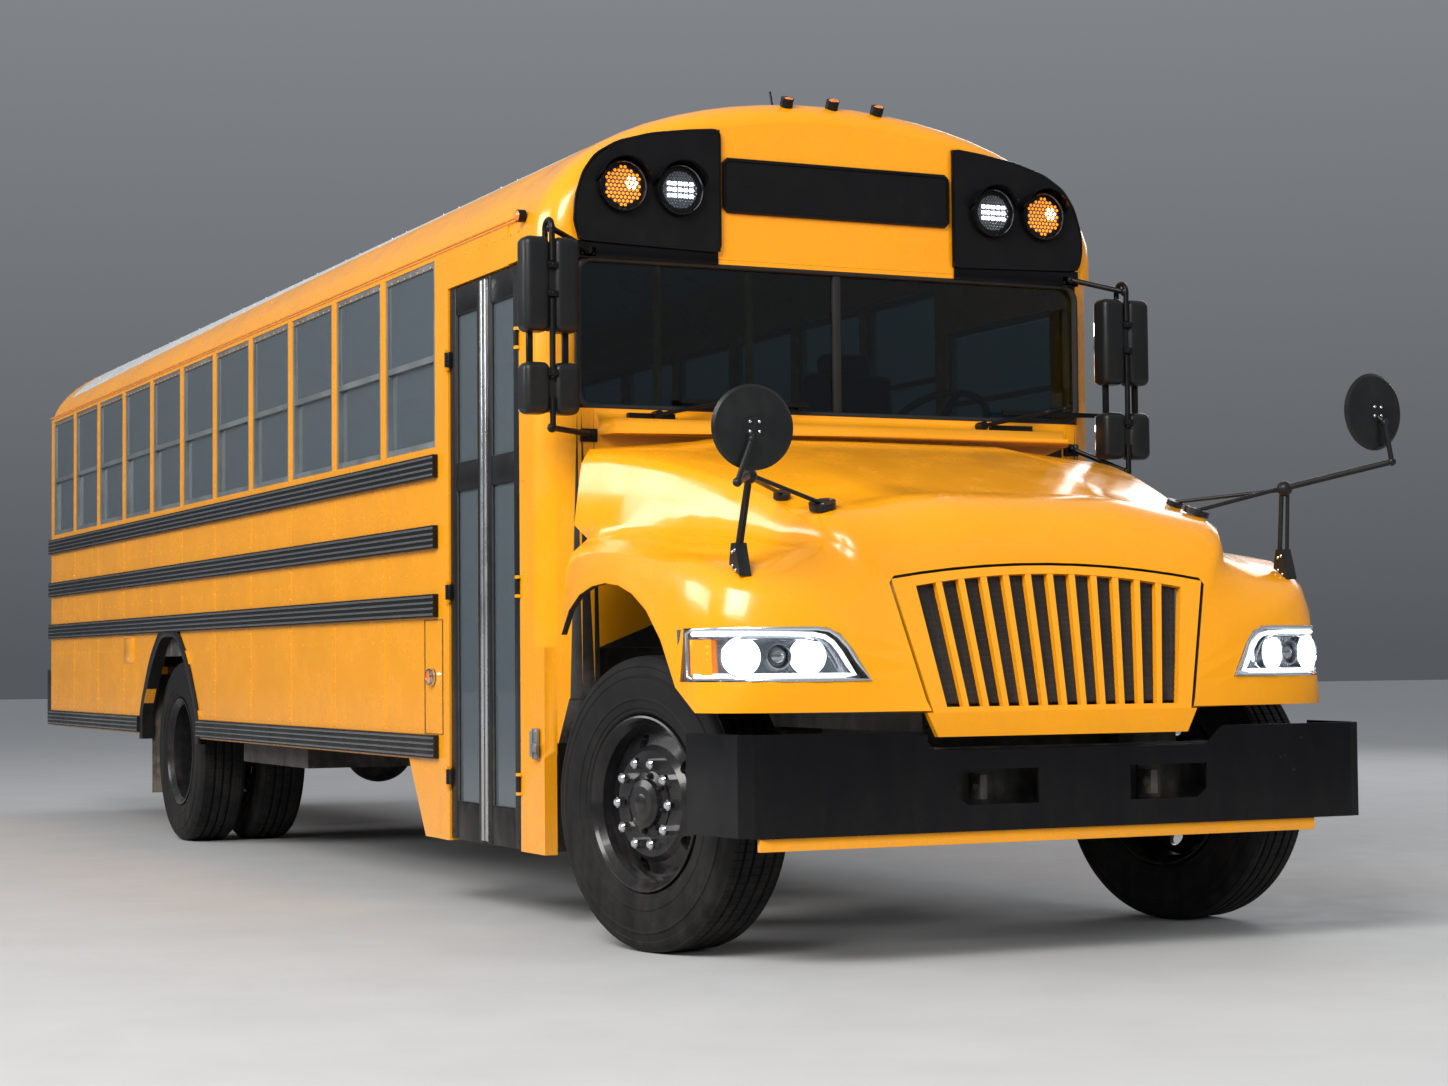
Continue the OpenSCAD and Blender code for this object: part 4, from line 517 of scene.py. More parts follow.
def add_tyre(bm, place, grooves, depth, gap, steps, cut):
    part = bmesh.new()
    add_turned(part, tyre_outline(grooves, depth, gap), None, steps, closed=True)
    bmesh.ops.recalc_face_normals(part, faces=part.faces)
    blocks = [f for f in part.faces
              if math.hypot(f.calc_center_median().x, f.calc_center_median().z) > TYRE_R - 0.006]
    bmesh.ops.inset_individual(part, faces=blocks, thickness=cut, depth=0.003, use_even_offset=True)
    bmesh.ops.transform(part, matrix=place, verts=part.verts)
    mesh = bpy.data.meshes.new("tyre_part")
    part.to_mesh(mesh)
    part.free()
    bm.from_mesh(mesh)
    bpy.data.meshes.remove(mesh)

def wheel_place(joint, offset=0.0):
    spot = joints[joint]
    axis = Vector(spot["axis"])
    turn = Vector((0, 1, 0)).rotation_difference(axis).to_matrix().to_4x4()
    return Matrix.Translation(Vector(spot["pos_m"]) + axis * offset) @ turn

wheels = {"front_right": ("front_wheel_right", "front_right_spin", -1),
          "front_left": ("front_wheel_left", "front_left_spin", 1),
          "rear_right": ("rear_wheels_right", "rear_right_spin", -1),
          "rear_left": ("rear_wheels_left", "rear_left_spin", 1)}
TWIN = 0.340
for key, (body, joint, out) in wheels.items():
    bm = bmesh.new()
    front = key.startswith("front")
    if front:
        add_tyre(bm, wheel_place(joint), (-0.066, -0.024, 0.024, 0.066), 0.014, 0.0055, 110, 0.0011)
    else:
        for shift in (0.0, -TWIN * out):
            add_tyre(bm, wheel_place(joint, shift), (-0.046, 0.0, 0.046), 0.016, 0.0065, 72, 0.0042)
    node = ("front_tyre_" if front else "rear_tyres_") + key.split("_")[1]
    tyre = settle(node + "_treaded", bm, "tyre", body, 30, fix=False)
    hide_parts(node)

# %% [markdown]
# ## Wheel nuts and hubs
# Long polished nut covers stand in a ring round a dark hub. Each is a six-sided body with a domed
# end on a washer. The hub gets a ring of small bolts.

# %% Nuts and hub bolts
def nut(bm, place, radius, depth, sides=6):
    before = set(bm.verts)
    add_rod(bm, (0, 0, 0), (0, depth, 0), radius, sides)
    add_rod(bm, (0, depth - 0.0005, 0), (0, depth + 0.007, 0), radius * 0.92, 14, radius * 0.55)
    add_rod(bm, (0, -0.001, 0), (0, 0.006, 0), radius * 1.35, 18, radius * 1.15)
    made = [v for v in bm.verts if v not in before]
    bmesh.ops.transform(bm, matrix=place, verts=made)

for key, (body, joint, out) in wheels.items():
    front = key.startswith("front")
    nuts, bolts = bmesh.new(), bmesh.new()
    place = wheel_place(joint)
    flip = Matrix.Diagonal((1, out, 1, 1))
    start = 0.081 if front else -0.162
    for i in range(10):
        ring = Matrix.Rotation(math.radians(36 * i), 4, "Y") @ Matrix.Translation((0.1429, start, 0))
        nut(nuts, place @ flip @ ring, 0.0192, 0.046)
    face = 0.101 if front else -0.034
    for i in range(8):
        spot = Matrix.Translation((0.096 if front else 0.103, face, 0))
        ring = Matrix.Rotation(math.radians(45 * i + 10), 4, "Y") @ spot
        nut(bolts, place @ flip @ ring, 0.0085, 0.010)
    cap_y = 0.131 if front else 0.013
    add_turned(bolts, [(0.0, cap_y + 0.004), (0.030, cap_y + 0.003), (0.036, cap_y),
                       (0.036, cap_y - 0.006), (0.0, cap_y - 0.006)],
               place @ flip, 32)
    settle("wheel_nuts_" + key, nuts, "chrome", body, 30)
    settle("hub_bolts_" + key, bolts, "rim_black", body, 30)

# %% [markdown]
# ## Windshield
# Two flat panes meet at a centre post and sit in a thick rubber seal. The panes stand for the
# single CAD glass, and the post and the seal are added round them.

# %% Windshield
screen_low, screen_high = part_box("windshield")
glass, posts = bmesh.new(), bmesh.new()
for out in (-1, 1):
    inner, outer = 0.004 * out, (screen_high[1] - 0.002) * out
    add_box(glass, (FACE - 0.030, inner, screen_low[2] + 0.002),
            (FACE - 0.025, outer, screen_high[2] - 0.002))
pane = settle("windshield_panes", glass, "windshield_glass", "body")
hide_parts("windshield")
add_box(posts, (FACE - 0.034, -0.017, screen_low[2]), (FACE - 0.010, 0.017, screen_high[2]), 0.005)
w, z0, z1 = screen_high[1] - 0.004, screen_low[2] + 0.004, screen_high[2] - 0.004
def rounded_outline(half, low, high, corner, steps=5):
    points = []
    for cy, cz, start in ((half - corner, high - corner, 0), (corner - half, high - corner, 90),
                          (corner - half, low + corner, 180), (half - corner, low + corner, 270)):
        for i in range(steps + 1):
            a = math.radians(start + 90 * i / steps)
            points.append((cy + corner * math.cos(a), cz + corner * math.sin(a)))
    return points
add_tube(posts, [(FACE - 0.012, y, z) for y, z in rounded_outline(w, z0, z1, 0.06)], 0.013, 8, True)
settle("windshield_seal", posts, "seal_rubber", "body")

# %% [markdown]
# ## Entrance door leaves
# Each leaf is a black frame of stiles and rails with two dark panes, and a bright strip holds the
# rubber where the leaves meet. They are built bar by bar, so every edge has a soft bevel, and
# they replace the CAD leaves.

# %% Door leaves
def door_leaf(node, body, meeting):
    low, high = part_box(node)
    xa, xb = ((DOOR_FRONT - 0.401, DOOR_FRONT - 0.0055) if meeting < 0 else
              (DOOR_REAR + 0.006, DOOR_REAR + 0.401))
    ya, yb = -1.213, -1.213 + 0.036
    z0, z1 = 0.282, 2.518
    frame_bm, glass_bm, seal_bm, grip = bmesh.new(), bmesh.new(), bmesh.new(), bmesh.new()
    rail = 0.072
    for a, b in ((xa, xa + rail), (xb - rail, xb)):
        add_box(frame_bm, (a, ya, z0), (b, yb, z1), 0.004)
    for a, b in ((z0, z0 + 0.150), (1.690, 1.800), (z1 - 0.110, z1)):
        add_box(frame_bm, (xa + 0.01, ya + 0.002, a), (xb - 0.01, yb - 0.002, b), 0.003)
    for a, b in ((z0 + 0.140, 1.700), (1.790, z1 - 0.100)):
        add_box(glass_bm, (xa + rail - 0.006, ya + 0.014, a), (xb - rail + 0.006, ya + 0.019, b))
        path = [(xa + rail, ya + 0.008, a + 0.012), (xb - rail, ya + 0.008, a + 0.012),
                (xb - rail, ya + 0.008, b - 0.012), (xa + rail, ya + 0.008, b - 0.012)]
        add_tube(seal_bm, path, 0.006, 6, True)
    edge = xa if meeting < 0 else xb
    inner = edge - meeting * 0.003
    add_box(grip, (inner, ya - 0.006, z0 + 0.01), (inner - meeting * 0.026, ya + 0.004, z1 - 0.01), 0.003)
    add_box(seal_bm, (edge, ya + 0.002, z0 + 0.01), (edge + meeting * 0.0035, yb - 0.002, z1 - 0.01), 0.001)
    hx = DOOR_FRONT - 0.004 if meeting < 0 else DOOR_REAR + 0.004
    sign = 1 if meeting < 0 else -1
    for z in (0.500, 1.250, 2.200):
        add_rod(frame_bm, (hx, -HALF - 0.008, z), (hx, -HALF - 0.008, z + 0.060), 0.0085, 16)
        add_box(frame_bm, (hx - 0.030 * sign, -HALF - 0.009, z),
                (hx - 0.004 * sign, 0.010 - HALF, z + 0.060), 0.001)
        for dz in (0.014, 0.046):
            add_ball(frame_bm, (hx - 0.020 * sign, -HALF - 0.009, z + dz), 0.006, (1, 0.5, 1))
    # a column of round bolt heads on each stile
    for x in (xa + 0.030, xb - 0.030):
        for z in (z0 + 0.03, 0.9, 1.745, z1 - 0.03):
            add_ball(frame_bm, (x, ya, z), 0.006, (1, 0.4, 1))
    piece = settle(node + "_frame", frame_bm, "trim_black", body, 35)
    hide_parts(node)
    settle(node + "_panes", glass_bm, "tinted_glass", body)
    settle(node + "_seals", seal_bm, "seal_rubber", body)
    settle(node + "_bright_strip", grip, "seal_silver", body)

door_leaf("door_leaf_front", "entrance_leaf_front", -1)
door_leaf("door_leaf_rear", "entrance_leaf_rear", 1)

# %% [markdown]
# ## Rear emergency door
# The door is a yellow panel with two windows in rubber seals, a lever handle and hinges.

# %% Rear door
def rear_door():
    low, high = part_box("rear_door")
    x0, x1 = WALL_REAR + 0.004, WALL_REAR + 0.044
    ya, yb, z0, z1 = -0.344, 0.344, 1.196, high[2]
    bm, panes, seals, bright = bmesh.new(), bmesh.new(), bmesh.new(), bmesh.new()
    sill = 1.887
    holes = ((sill + 0.030, z1 - 0.084), (z0 + 0.174, sill - 0.120))
    for a, b in ((ya, -0.260), (0.260, yb)):
        add_box(bm, (x0, a, z0), (x1, b, z1), 0.004)
    for a, b in ((z0, holes[1][0]), (holes[1][1], holes[0][0]), (holes[0][1], z1)):
        add_box(bm, (x0 + 0.0005, ya + 0.01, a), (x1 - 0.0005, yb - 0.01, b), 0.003)
    for a, b in holes:
        add_box(panes, (x0 + 0.014, -0.264, a - 0.004), (x0 + 0.020, 0.264, b + 0.004))
        ring = [(x0 + 0.002, y, z + (a + b) / 2)
                for y, z in rounded_outline(0.258, (a - b) / 2, (b - a) / 2, 0.04)]
        add_tube(seals, ring, 0.010, 8, True)
    for z in (1.400, 1.800, 2.400):
        add_rod(bm, (WALL_REAR - 0.009, -0.347, z), (WALL_REAR - 0.009, -0.347, z + 0.080), 0.0095, 16)
        add_box(bm, (WALL_REAR - 0.012, -0.344, z), (x0 + 0.001, -0.300, z + 0.080), 0.002)
    add_rod(bright, (WALL_REAR - 0.006, 0.250, sill - 0.065), (WALL_REAR + 0.006, 0.250, sill - 0.065),
            0.022, 24)
    add_box(bright, (WALL_REAR - 0.026, 0.190, sill - 0.078), (WALL_REAR - 0.012, 0.290, sill - 0.054), 0.005)
    add_rod(bright, (WALL_REAR - 0.020, 0.250, sill - 0.065), (WALL_REAR + 0.002, 0.250, sill - 0.065),
            0.009, 16)
    piece = settle("rear_door_panel", bm, "body_paint", "rear_emergency_door", 35)
    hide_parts("rear_door")
    settle("rear_door_panes", panes, "tinted_glass", "rear_emergency_door")
    settle("rear_door_seals", seals, "seal_rubber", "rear_emergency_door")
    settle("rear_door_handle", bright, "chrome", "rear_emergency_door")

rear_door()

# %% [markdown]
# ## Warning lamps, sign and markers
# Each warning lamp has a turned rim under a short visor, a smoked lens and a field of small
# light-emitting dots: the inner pair is white, the outer pair amber. Each amber lamp also has a
# small patch of white lit dots set high and to one side, a painted glint. The lamp housings and the
# blank sign get a raised edge, and the small markers get amber domes.

# %% Warning lamps
LAMP_X, LAMP_Z = FACE + 0.030, 2.780
def face_place(y, z, x=LAMP_X):
    # local +Y of a turned shape points forward
    return Matrix.Translation((x, y, z)) @ Matrix.Rotation(math.radians(-90), 4, "Z")

def lamp_dots(bm, y, z, x, radius, pitch, size, square=False):
    rows = int(radius / pitch) + 1
    for i in range(-rows, rows + 1):
        for j in range(-rows, rows + 1):
            dy = (i + (0.5 if j % 2 and not square else 0)) * pitch
            dz = j * pitch * (1.0 if square else 0.87)
            if math.hypot(dy, dz) > radius - size:
                continue
            if square:
                if abs(dz) > radius * 0.45:
                    continue
                add_box(bm, (x, y + dy - size, z + dz - size * 0.8),
                        (x + 0.004, y + dy + size, z + dz + size * 0.8), 0.001, 1)
            else:
                add_ball(bm, (x + 0.001, y + dy, z + dz), size, (0.6, 1, 1), 8, 4)

rims, lens_bm, white_dots_and_glints, amber_dots, dim_dots = (bmesh.new() for _ in range(5))
for out in (-1, 1):
    for y, lit in ((0.690, "white"), (0.925, "amber")):
        place = face_place(out * y, LAMP_Z)
        add_turned(rims, [(0.084, -0.010), (0.100, -0.010), (0.101, 0.004), (0.097, 0.014), (0.091, 0.016),
                          (0.087, 0.010)], place, 48, True)
        add_turned(lens_bm, [(0.0, 0.002), (0.060, 0.0015), (0.086, -0.002), (0.086, -0.008),
                             (0.0, -0.008)], place, 40)
        if lit == "white":
            lamp_dots(white_dots_and_glints, out * y, LAMP_Z, LAMP_X + 0.002, 0.070, 0.023, 0.0075, True)
            lamp_dots(dim_dots, out * y, LAMP_Z, LAMP_X + 0.001, 0.078, 0.0125, 0.0035)
        else:
            lamp_dots(amber_dots, out * y, LAMP_Z, LAMP_X + 0.001, 0.080, 0.0165, 0.0062)
            # a small patch of white lit dots, high and shifted the same way on both amber lamps: a painted glint
            lamp_dots(white_dots_and_glints, out * y + 0.034, 2.792, LAMP_X + 0.003, 0.036, 0.019, 0.0060)
        # visor: half a turned rim, longer over the top
        visor = bmesh.new()
        add_turned(visor, [(0.103, -0.010), (0.107, -0.010), (0.110, 0.052), (0.106, 0.052)], None, 48, True)
        bmesh.ops.bisect_plane(visor, geom=visor.verts[:] + visor.edges[:] + visor.faces[:],
                               plane_co=(0, 0, 0.018), plane_no=(0, -0.55, 1), clear_inner=True)
        bmesh.ops.contextual_create(visor, geom=[e for e in visor.edges if e.is_boundary])
        bmesh.ops.transform(visor, matrix=place, verts=visor.verts)
        part = bpy.data.meshes.new("visor")
        visor.to_mesh(part)
        visor.free()
        rims.from_mesh(part)
        bpy.data.meshes.remove(part)
HOUSING = [(0.515, 2.556), (1.098, 2.572), (1.116, 2.640), (1.114, 2.718), (1.080, 2.826), (1.030, 2.896),
           (0.940, 2.950), (0.800, 2.990), (0.640, 3.014), (0.515, 3.026)]
def softened(points, parts=4):
    # corner cutting: each corner becomes a short arc
    soft = []
    for i, p in enumerate(points):
        before, after = Vector(points[i - 1]), Vector(points[(i + 1) % len(points)])
        p = Vector(p)
        cut = min(0.030, (before - p).length * 0.45, (after - p).length * 0.45)
        a, b = p + (before - p).normalized() * cut, p + (after - p).normalized() * cut
        for k in range(parts + 1):
            t = k / parts
            soft.append(a * (1 - t) ** 2 + p * 2 * t * (1 - t) + b * t ** 2)
    return soft

for out in (-1, 1):
    add_tube(rims, [(FACE + 0.015, out * p.x, p.y) for p in softened(HOUSING)], 0.006, 8, True)
add_tube(rims, [(FACE + 0.010, y, z) for y, z in rounded_outline(0.492, 2.717, 2.915, 0.022)], 0.007, 8, True)
# a black shelf below each housing runs down to the windshield seal
for out in (-1, 1):
    ends = sorted((out * 0.520, out * 1.104))
    add_box(rims, (FACE + 0.0005, ends[0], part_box("windshield")[1][2] - 0.004),
            (FACE + 0.010, ends[1], 2.568), 0.004)
settle("warning_lamp_rims", rims, "gloss_black", "body", 40)
settle("warning_lamp_lenses", lens_bm, "dark_lens", "body")
settle("warning_lamp_white_lights", white_dots_and_glints, "white_glow", "body")
settle("warning_lamp_amber_lights", amber_dots, "amber_glow", "body")
settle("warning_lamp_dim_lights", dim_dots, "lamp_grey", "body")

# %% Markers and reflectors
amber, bright = bmesh.new(), bmesh.new()
cap_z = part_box("front_cap")[1][2]
for y in (-0.190, 0.010, 0.210):
    add_ball(amber, (FACE - 0.046, y, cap_z + 0.002 - 0.010 * (abs(y) > 0.1)), 0.018, (1.3, 1.3, 0.8), 16, 8)
for out in (-1, 1):
    add_ball(amber, (FRONT - 1.000, out * (HALF + 0.020), 2.690), 0.022, (1, 0.6, 1), 16, 8)
    side = (Matrix.Translation((BATTERY_X, out * (HALF + 0.022), 0.935))
            @ Matrix.Diagonal((1, out, 1, 1)))
    add_turned(amber, [(0.0, 0.004), (0.018, 0.003), (0.027, 0.0), (0.027, -0.004), (0.0, -0.004)], side, 28)
    add_turned(bright, [(0.027, -0.004), (0.027, 0.003), (0.033, 0.002), (0.036, -0.006), (0.036, -0.018),
                        (0.027, -0.018)], side, 28, True)
settle("amber_markers", amber, "amber_lens", "body")
settle("marker_rims", bright, "chrome", "body")

# %% [markdown]
# ## Headlights
# The cover follows the corner of the nose, so everything inside is laid out on that curve: flat
# grids are pushed onto it point by point. Behind the clear cover sit a bright outer band, a grey
# reflector tub, two lit lamps with a projector between them, and an amber lamp at the outer end.

# %% Headlight layout
LENS = [(0.700, 0.8110), (0.760, 0.8010), (0.800, 0.7946), (0.850, 0.7866), (0.900, 0.7786), (0.950, 0.7684),
        (1.000, 0.7552), (1.050, 0.7394), (1.100, 0.7182), (1.150, 0.6839), (1.180, 0.6499), (1.200, 0.6195),
        (1.220, 0.5659), (1.235, 0.5000)]
def lens_x(y, z):
    y = min(max(y, LENS[0][0]), LENS[-1][0])
    for (ya, xa), (yb, xb) in zip(LENS, LENS[1:]):
        if y <= yb:
            return FRONT + xa + (xb - xa) * (y - ya) / (yb - ya) - 0.085 * (z - 1.010)
    return FRONT + LENS[-1][1]

def lens_patch(bm, out, y0, y1, z0, z1, depth, thick, cut=None, columns=24, rows=6):
    made = bmesh.ops.create_grid(bm, x_segments=columns, y_segments=rows, size=0.5)["verts"]
    for v in made:
        t, s = v.co.x + 0.5, v.co.y + 0.5
        z = z0 + (z1 - z0) * s
        low = y0 + (cut(z) if cut else 0)
        y = low + (y1 - low) * t
        v.co = (lens_x(y, z) - depth, out * y, z)
    faces = list({f for v in made for f in v.link_faces})
    bmesh.ops.solidify(bm, geom=faces, thickness=thick * -out)

def slope(z):
    # the inner end of the lamp leans outwards as it rises
    return 0.0 if z < 0.93 else 0.85 * (z - 0.93) if z < 1.03 else 0.085 + 1.1 * (z - 1.03)

tub, glow_white, guide, ring_bm, amber, outline = (bmesh.new() for _ in range(6))
for out in (-1, 1):
    lens_patch(tub, out, 0.722, 1.236, 0.925, 1.094, 0.058, 0.003, slope, 40, 8)
    edge = [(0.720, 0.926), (0.760, 0.985), (0.790, 1.036), (0.818, 1.068), (0.850, 1.088), (0.890, 1.094),
            (1.000, 1.094), (1.100, 1.094), (1.180, 1.094), (1.225, 1.092), (1.233, 1.080), (1.233, 1.010),
            (1.233, 0.940), (1.225, 0.928), (1.180, 0.926), (1.100, 0.926), (1.000, 0.926), (0.900, 0.926),
            (0.800, 0.926)]
    add_tube(outline, [(lens_x(y, z) + 0.001, out * y, z) for y, z in edge], 0.0065, 8, True)
    inner = [(1.224, 1.078), (1.180, 1.078), (1.100, 1.078), (1.000, 1.077), (0.900, 1.074),
             (0.862, 1.066), (0.836, 1.048), (0.812, 1.016), (0.786, 0.972), (0.768, 0.944),
             (0.800, 0.941), (0.900, 0.941), (1.000, 0.941), (1.100, 0.941), (1.224, 0.941)]
    add_tube(guide, [(lens_x(y, z) - 0.010, out * y, z) for y, z in inner], 0.0100, 8, False, 0.8)
    dark = [(1.215, 1.062), (1.100, 1.062), (1.000, 1.061), (0.920, 1.058), (0.882, 1.050), (0.858, 1.030),
            (0.838, 0.998), (0.822, 0.964)]
    add_tube(ring_bm, [(lens_x(y, z) - 0.012, out * y, z) for y, z in dark], 0.0035, 6)
    for y, r in ((1.122, 0.063), (0.918, 0.060)):
        x = lens_x(y, 1.003)
        lean = (Matrix.Translation((x - 0.020, out * y, 1.003))
                @ Matrix.Rotation(math.radians(-90 + out * 18), 4, "Z"))
        add_turned(ring_bm, [(r, -0.036), (r + 0.004, 0.000), (r + 0.001, 0.004), (r - 0.003, -0.002)],
                   lean, 40, True)
        add_turned(glow_white, [(0.0, -0.012), (r * 0.55, -0.016), (r * 0.92, -0.006), (r * 0.92, -0.020),
                                (0.0, -0.026)], lean, 32)
    x = lens_x(1.010, 1.003)
    lean = (Matrix.Translation((x - 0.020, out * 1.010, 1.003))
            @ Matrix.Rotation(math.radians(-90 + out * 12), 4, "Z"))
    add_turned(ring_bm, [(0.030, -0.030), (0.040, -0.004), (0.043, 0.003), (0.038, 0.004),
                         (0.033, -0.008)], lean, 40, True)
    add_turned(ring_bm, [(0.0, 0.002), (0.016, -0.001), (0.026, -0.010), (0.026, -0.030), (0.0, -0.030)],
               lean, 32)
    for k in range(6):
        y = 0.965 + 0.018 * k
        add_rod(ring_bm, (lens_x(y, 0.95) - 0.050, out * y, 0.948),
                (lens_x(y, 0.95) - 0.028, out * y, 0.948), 0.006, 10)
    lens_patch(amber, out, 1.192, 1.226, 0.950, 1.060, 0.020, 0.006, None, 6, 8)
    for k in range(4):
        add_ball(amber, (lens_x(1.20, 0.98 + 0.02 * k) - 0.016, out * 1.202, 0.975 + 0.020 * k), 0.006,
                 (1, 1, 1), 8, 5)
settle("headlight_tubs", tub, "lamp_grey", "hood")
settle("headlight_rims", outline, "seal_silver", "hood")
settle("headlight_light_guides", guide, "soft_glow", "hood")
settle("headlight_reflector_rings", ring_bm, "lamp_grey", "hood")
settle("headlight_lit_lamps", glow_white, "white_glow", "hood")
settle("headlight_turn_lamps", amber, "amber_glow", "hood")

# %% [markdown]
# ## Stuffed seats
# A bus bench is foam under grained vinyl, so cushions are puffed with a short cloth simulation
# from a slightly smaller shape. One cushion and one back are simulated, then copied to every
# bench, because all benches in a bus are alike. The driver's seat is made the same way.

# %% Puffed cushions
def applied(piece):
    graph = bpy.context.evaluated_depsgraph_get()
    mesh = bpy.data.meshes.new_from_object(piece.evaluated_get(graph))
    return mesh

def puffed(name, size, cap, voxel, corner):
    bm = bmesh.new()
    add_box(bm, [-s / 2 + cap * 0.5 for s in size], [s / 2 - cap * 0.5 for s in size], corner, 4)
    mesh = bpy.data.meshes.new(name)
    bm.to_mesh(mesh)
    bm.free()
    piece = bpy.data.objects.new(name, mesh)
    scene.collection.objects.link(piece)
    remesh = piece.modifiers.new("even_grid", "REMESH")
    remesh.mode, remesh.voxel_size = "VOXEL", voxel
    even = applied(piece)
    piece.modifiers.clear()
    piece.data = even
    rest = [v.co.copy() for v in even.vertices]
    cloth = piece.modifiers.new("puff", "CLOTH")
    cloth.settings.use_pressure = True
    cloth.settings.uniform_pressure_force = 4.0
    cloth.settings.effector_weights.gravity = 0.0
    cloth.settings.quality = 4
    cloth.point_cache.frame_start, cloth.point_cache.frame_end = 1, 20
    for frame_number in range(1, 21):
        scene.frame_set(frame_number)
    swollen = applied(piece)
    piece.modifiers.clear()
    piece.data = swollen
    for v, was in zip(swollen.vertices, rest):
        move = v.co - was
        if move.length > cap:
            v.co = was + move.normalized() * cap
    scene.frame_set(1)
    mesh = piece.data
    bpy.data.objects.remove(piece)
    print(name, len(mesh.polygons), "faces after puffing")
    return mesh

def stamped(bm, mesh, places):
    for place in places:
        before = len(bm.verts)
        bm.from_mesh(mesh)
        bm.verts.ensure_lookup_table()
        bmesh.ops.transform(bm, matrix=place, verts=bm.verts[before:])

seat_low, seat_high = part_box("passenger_seats")
bench_w = 0.960
rows = [WALL_FRONT - 0.130 - i * (BAY - 0.008) for i in range(BAYS)]
sides = [0.201 + bench_w / 2, -0.201 - bench_w / 2]
base = puffed("bench_cushion", (0.460, bench_w, 0.120), 0.022, 0.020, 0.030)
back = puffed("bench_back", (0.085, bench_w, 0.610), 0.016, 0.020, 0.026)
lean = Matrix.Rotation(math.atan2(-0.130, 0.600), 4, "Y")
cushions, backs, legs, piping = (bmesh.new() for _ in range(4))
stamped(cushions, base, [Matrix.Translation((x - 0.250, y, FLOOR + 0.390)) for x in rows for y in sides])
stamped(backs, back, [Matrix.Translation((x - 0.535, y, FLOOR + 0.640)) @ lean for x in rows for y in sides])
for x in rows:
    for y in sides:
        inner = y - math.copysign(bench_w / 2 - 0.050, y)
        outer = y + math.copysign(bench_w / 2 - 0.050, y)
        for leg in (0.080, 0.420):
            add_rod(legs, (x - leg, inner, FLOOR + 0.001), (x - leg, inner, FLOOR + 0.335), 0.016, 10)
            add_box(legs, (x - leg - 0.035, inner - 0.030, FLOOR + 0.0005),
                    (x - leg + 0.035, inner + 0.030, FLOOR + 0.008), 0.002, 1)
        for side in (inner, outer):
            add_rod(legs, (x - 0.060, side, FLOOR + 0.335), (x - 0.470, side, FLOOR + 0.335), 0.014, 10)
            add_rod(legs, (x - 0.470, side, FLOOR + 0.335), (x - 0.590, side, FLOOR + 0.860), 0.012, 10)
        add_rod(piping, (x - 0.022, y - bench_w / 2 + 0.03, FLOOR + 0.436),
                (x - 0.022, y + bench_w / 2 - 0.03, FLOOR + 0.436), 0.005, 6)
for name, bm, fill in (("bench_cushions", cushions, 0.8), ("bench_backs", backs, 0.85)):
    piece = settle(name, bm, "seat_vinyl", "body", 180)
    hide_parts("passenger_seats")
settle("bench_frames", legs, "chassis_black", "body")
settle("bench_piping", piping, "trim_black", "body")

# %% Driver's seat
base = puffed("driver_cushion", (0.500, 0.480, 0.130), 0.016, 0.014, 0.045)
back = puffed("driver_back", (0.110, 0.460, 0.660), 0.016, 0.014, 0.045)
rest = puffed("driver_head_rest", (0.090, 0.260, 0.170), 0.010, 0.012, 0.035)
bm, stand = bmesh.new(), bmesh.new()
lean = Matrix.Rotation(math.atan2(-0.120, 0.660), 4, "Y")
DRIVER_X, DRIVER_Y = FRONT - 1.650, 0.670
stamped(bm, base, [Matrix.Translation((DRIVER_X, DRIVER_Y, FLOOR + 0.430))])
stamped(bm, back, [Matrix.Translation((DRIVER_X - 0.255, DRIVER_Y, FLOOR + 0.770)) @ lean])
stamped(bm, rest, [Matrix.Translation((DRIVER_X - 0.330, DRIVER_Y, FLOOR + 1.085)) @ lean])
upright = Matrix.Translation((DRIVER_X, DRIVER_Y, FLOOR + 0.001)) @ Matrix.Rotation(math.radians(90), 4, "X")
add_turned(stand, [(0.150, 0.0), (0.140, 0.020), (0.100, 0.060), (0.095, 0.300), (0.130, 0.355),
                   (0.0, 0.360), (0.0, 0.0)], upright, 32)
add_box(stand, (DRIVER_X - 0.200, DRIVER_Y - 0.200, FLOOR + 0.001),
        (DRIVER_X + 0.200, DRIVER_Y + 0.200, FLOOR + 0.020), 0.006)
for y in (-0.050, 0.050):
    add_rod(stand, (DRIVER_X - 0.315, DRIVER_Y + y, FLOOR + 0.980),
            (DRIVER_X - 0.330, DRIVER_Y + y, FLOOR + 1.060), 0.007, 10)
piece = settle("driver_seat_cushions", bm, "seat_fabric", "body", 180)
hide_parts("driver_seat")
settle("driver_seat_stand", stand, "chassis_black", "body")

# %% [markdown]
# ## Rivets, laps and drip rails
# Bus bodies are riveted: rows run along the eaves, the rub rails, the skirt and each roof bow.
# One small dome is drawn for each rivet with only a few faces. Narrow lap strips cover the
# vertical joints of the side panels, and a drip rail runs above the windows.

# %% Rivets and laps
rivet_bm = bmesh.new()
bmesh.ops.create_uvsphere(rivet_bm, u_segments=7, v_segments=4, radius=0.0055,
                          matrix=Matrix.Diagonal((1, 0.45, 1, 1)))
rivet_mesh = bpy.data.meshes.new("rivet")
rivet_bm.to_mesh(rivet_mesh)
rivet_bm.free()
painted, dark_rivets, roof_rivets, laps = (bmesh.new() for _ in range(4))

def row(x0, x1, step):
    count = max(1, int(abs(x1 - x0) / step))
    return [x0 + (x1 - x0) * i / count for i in range(count + 1)]

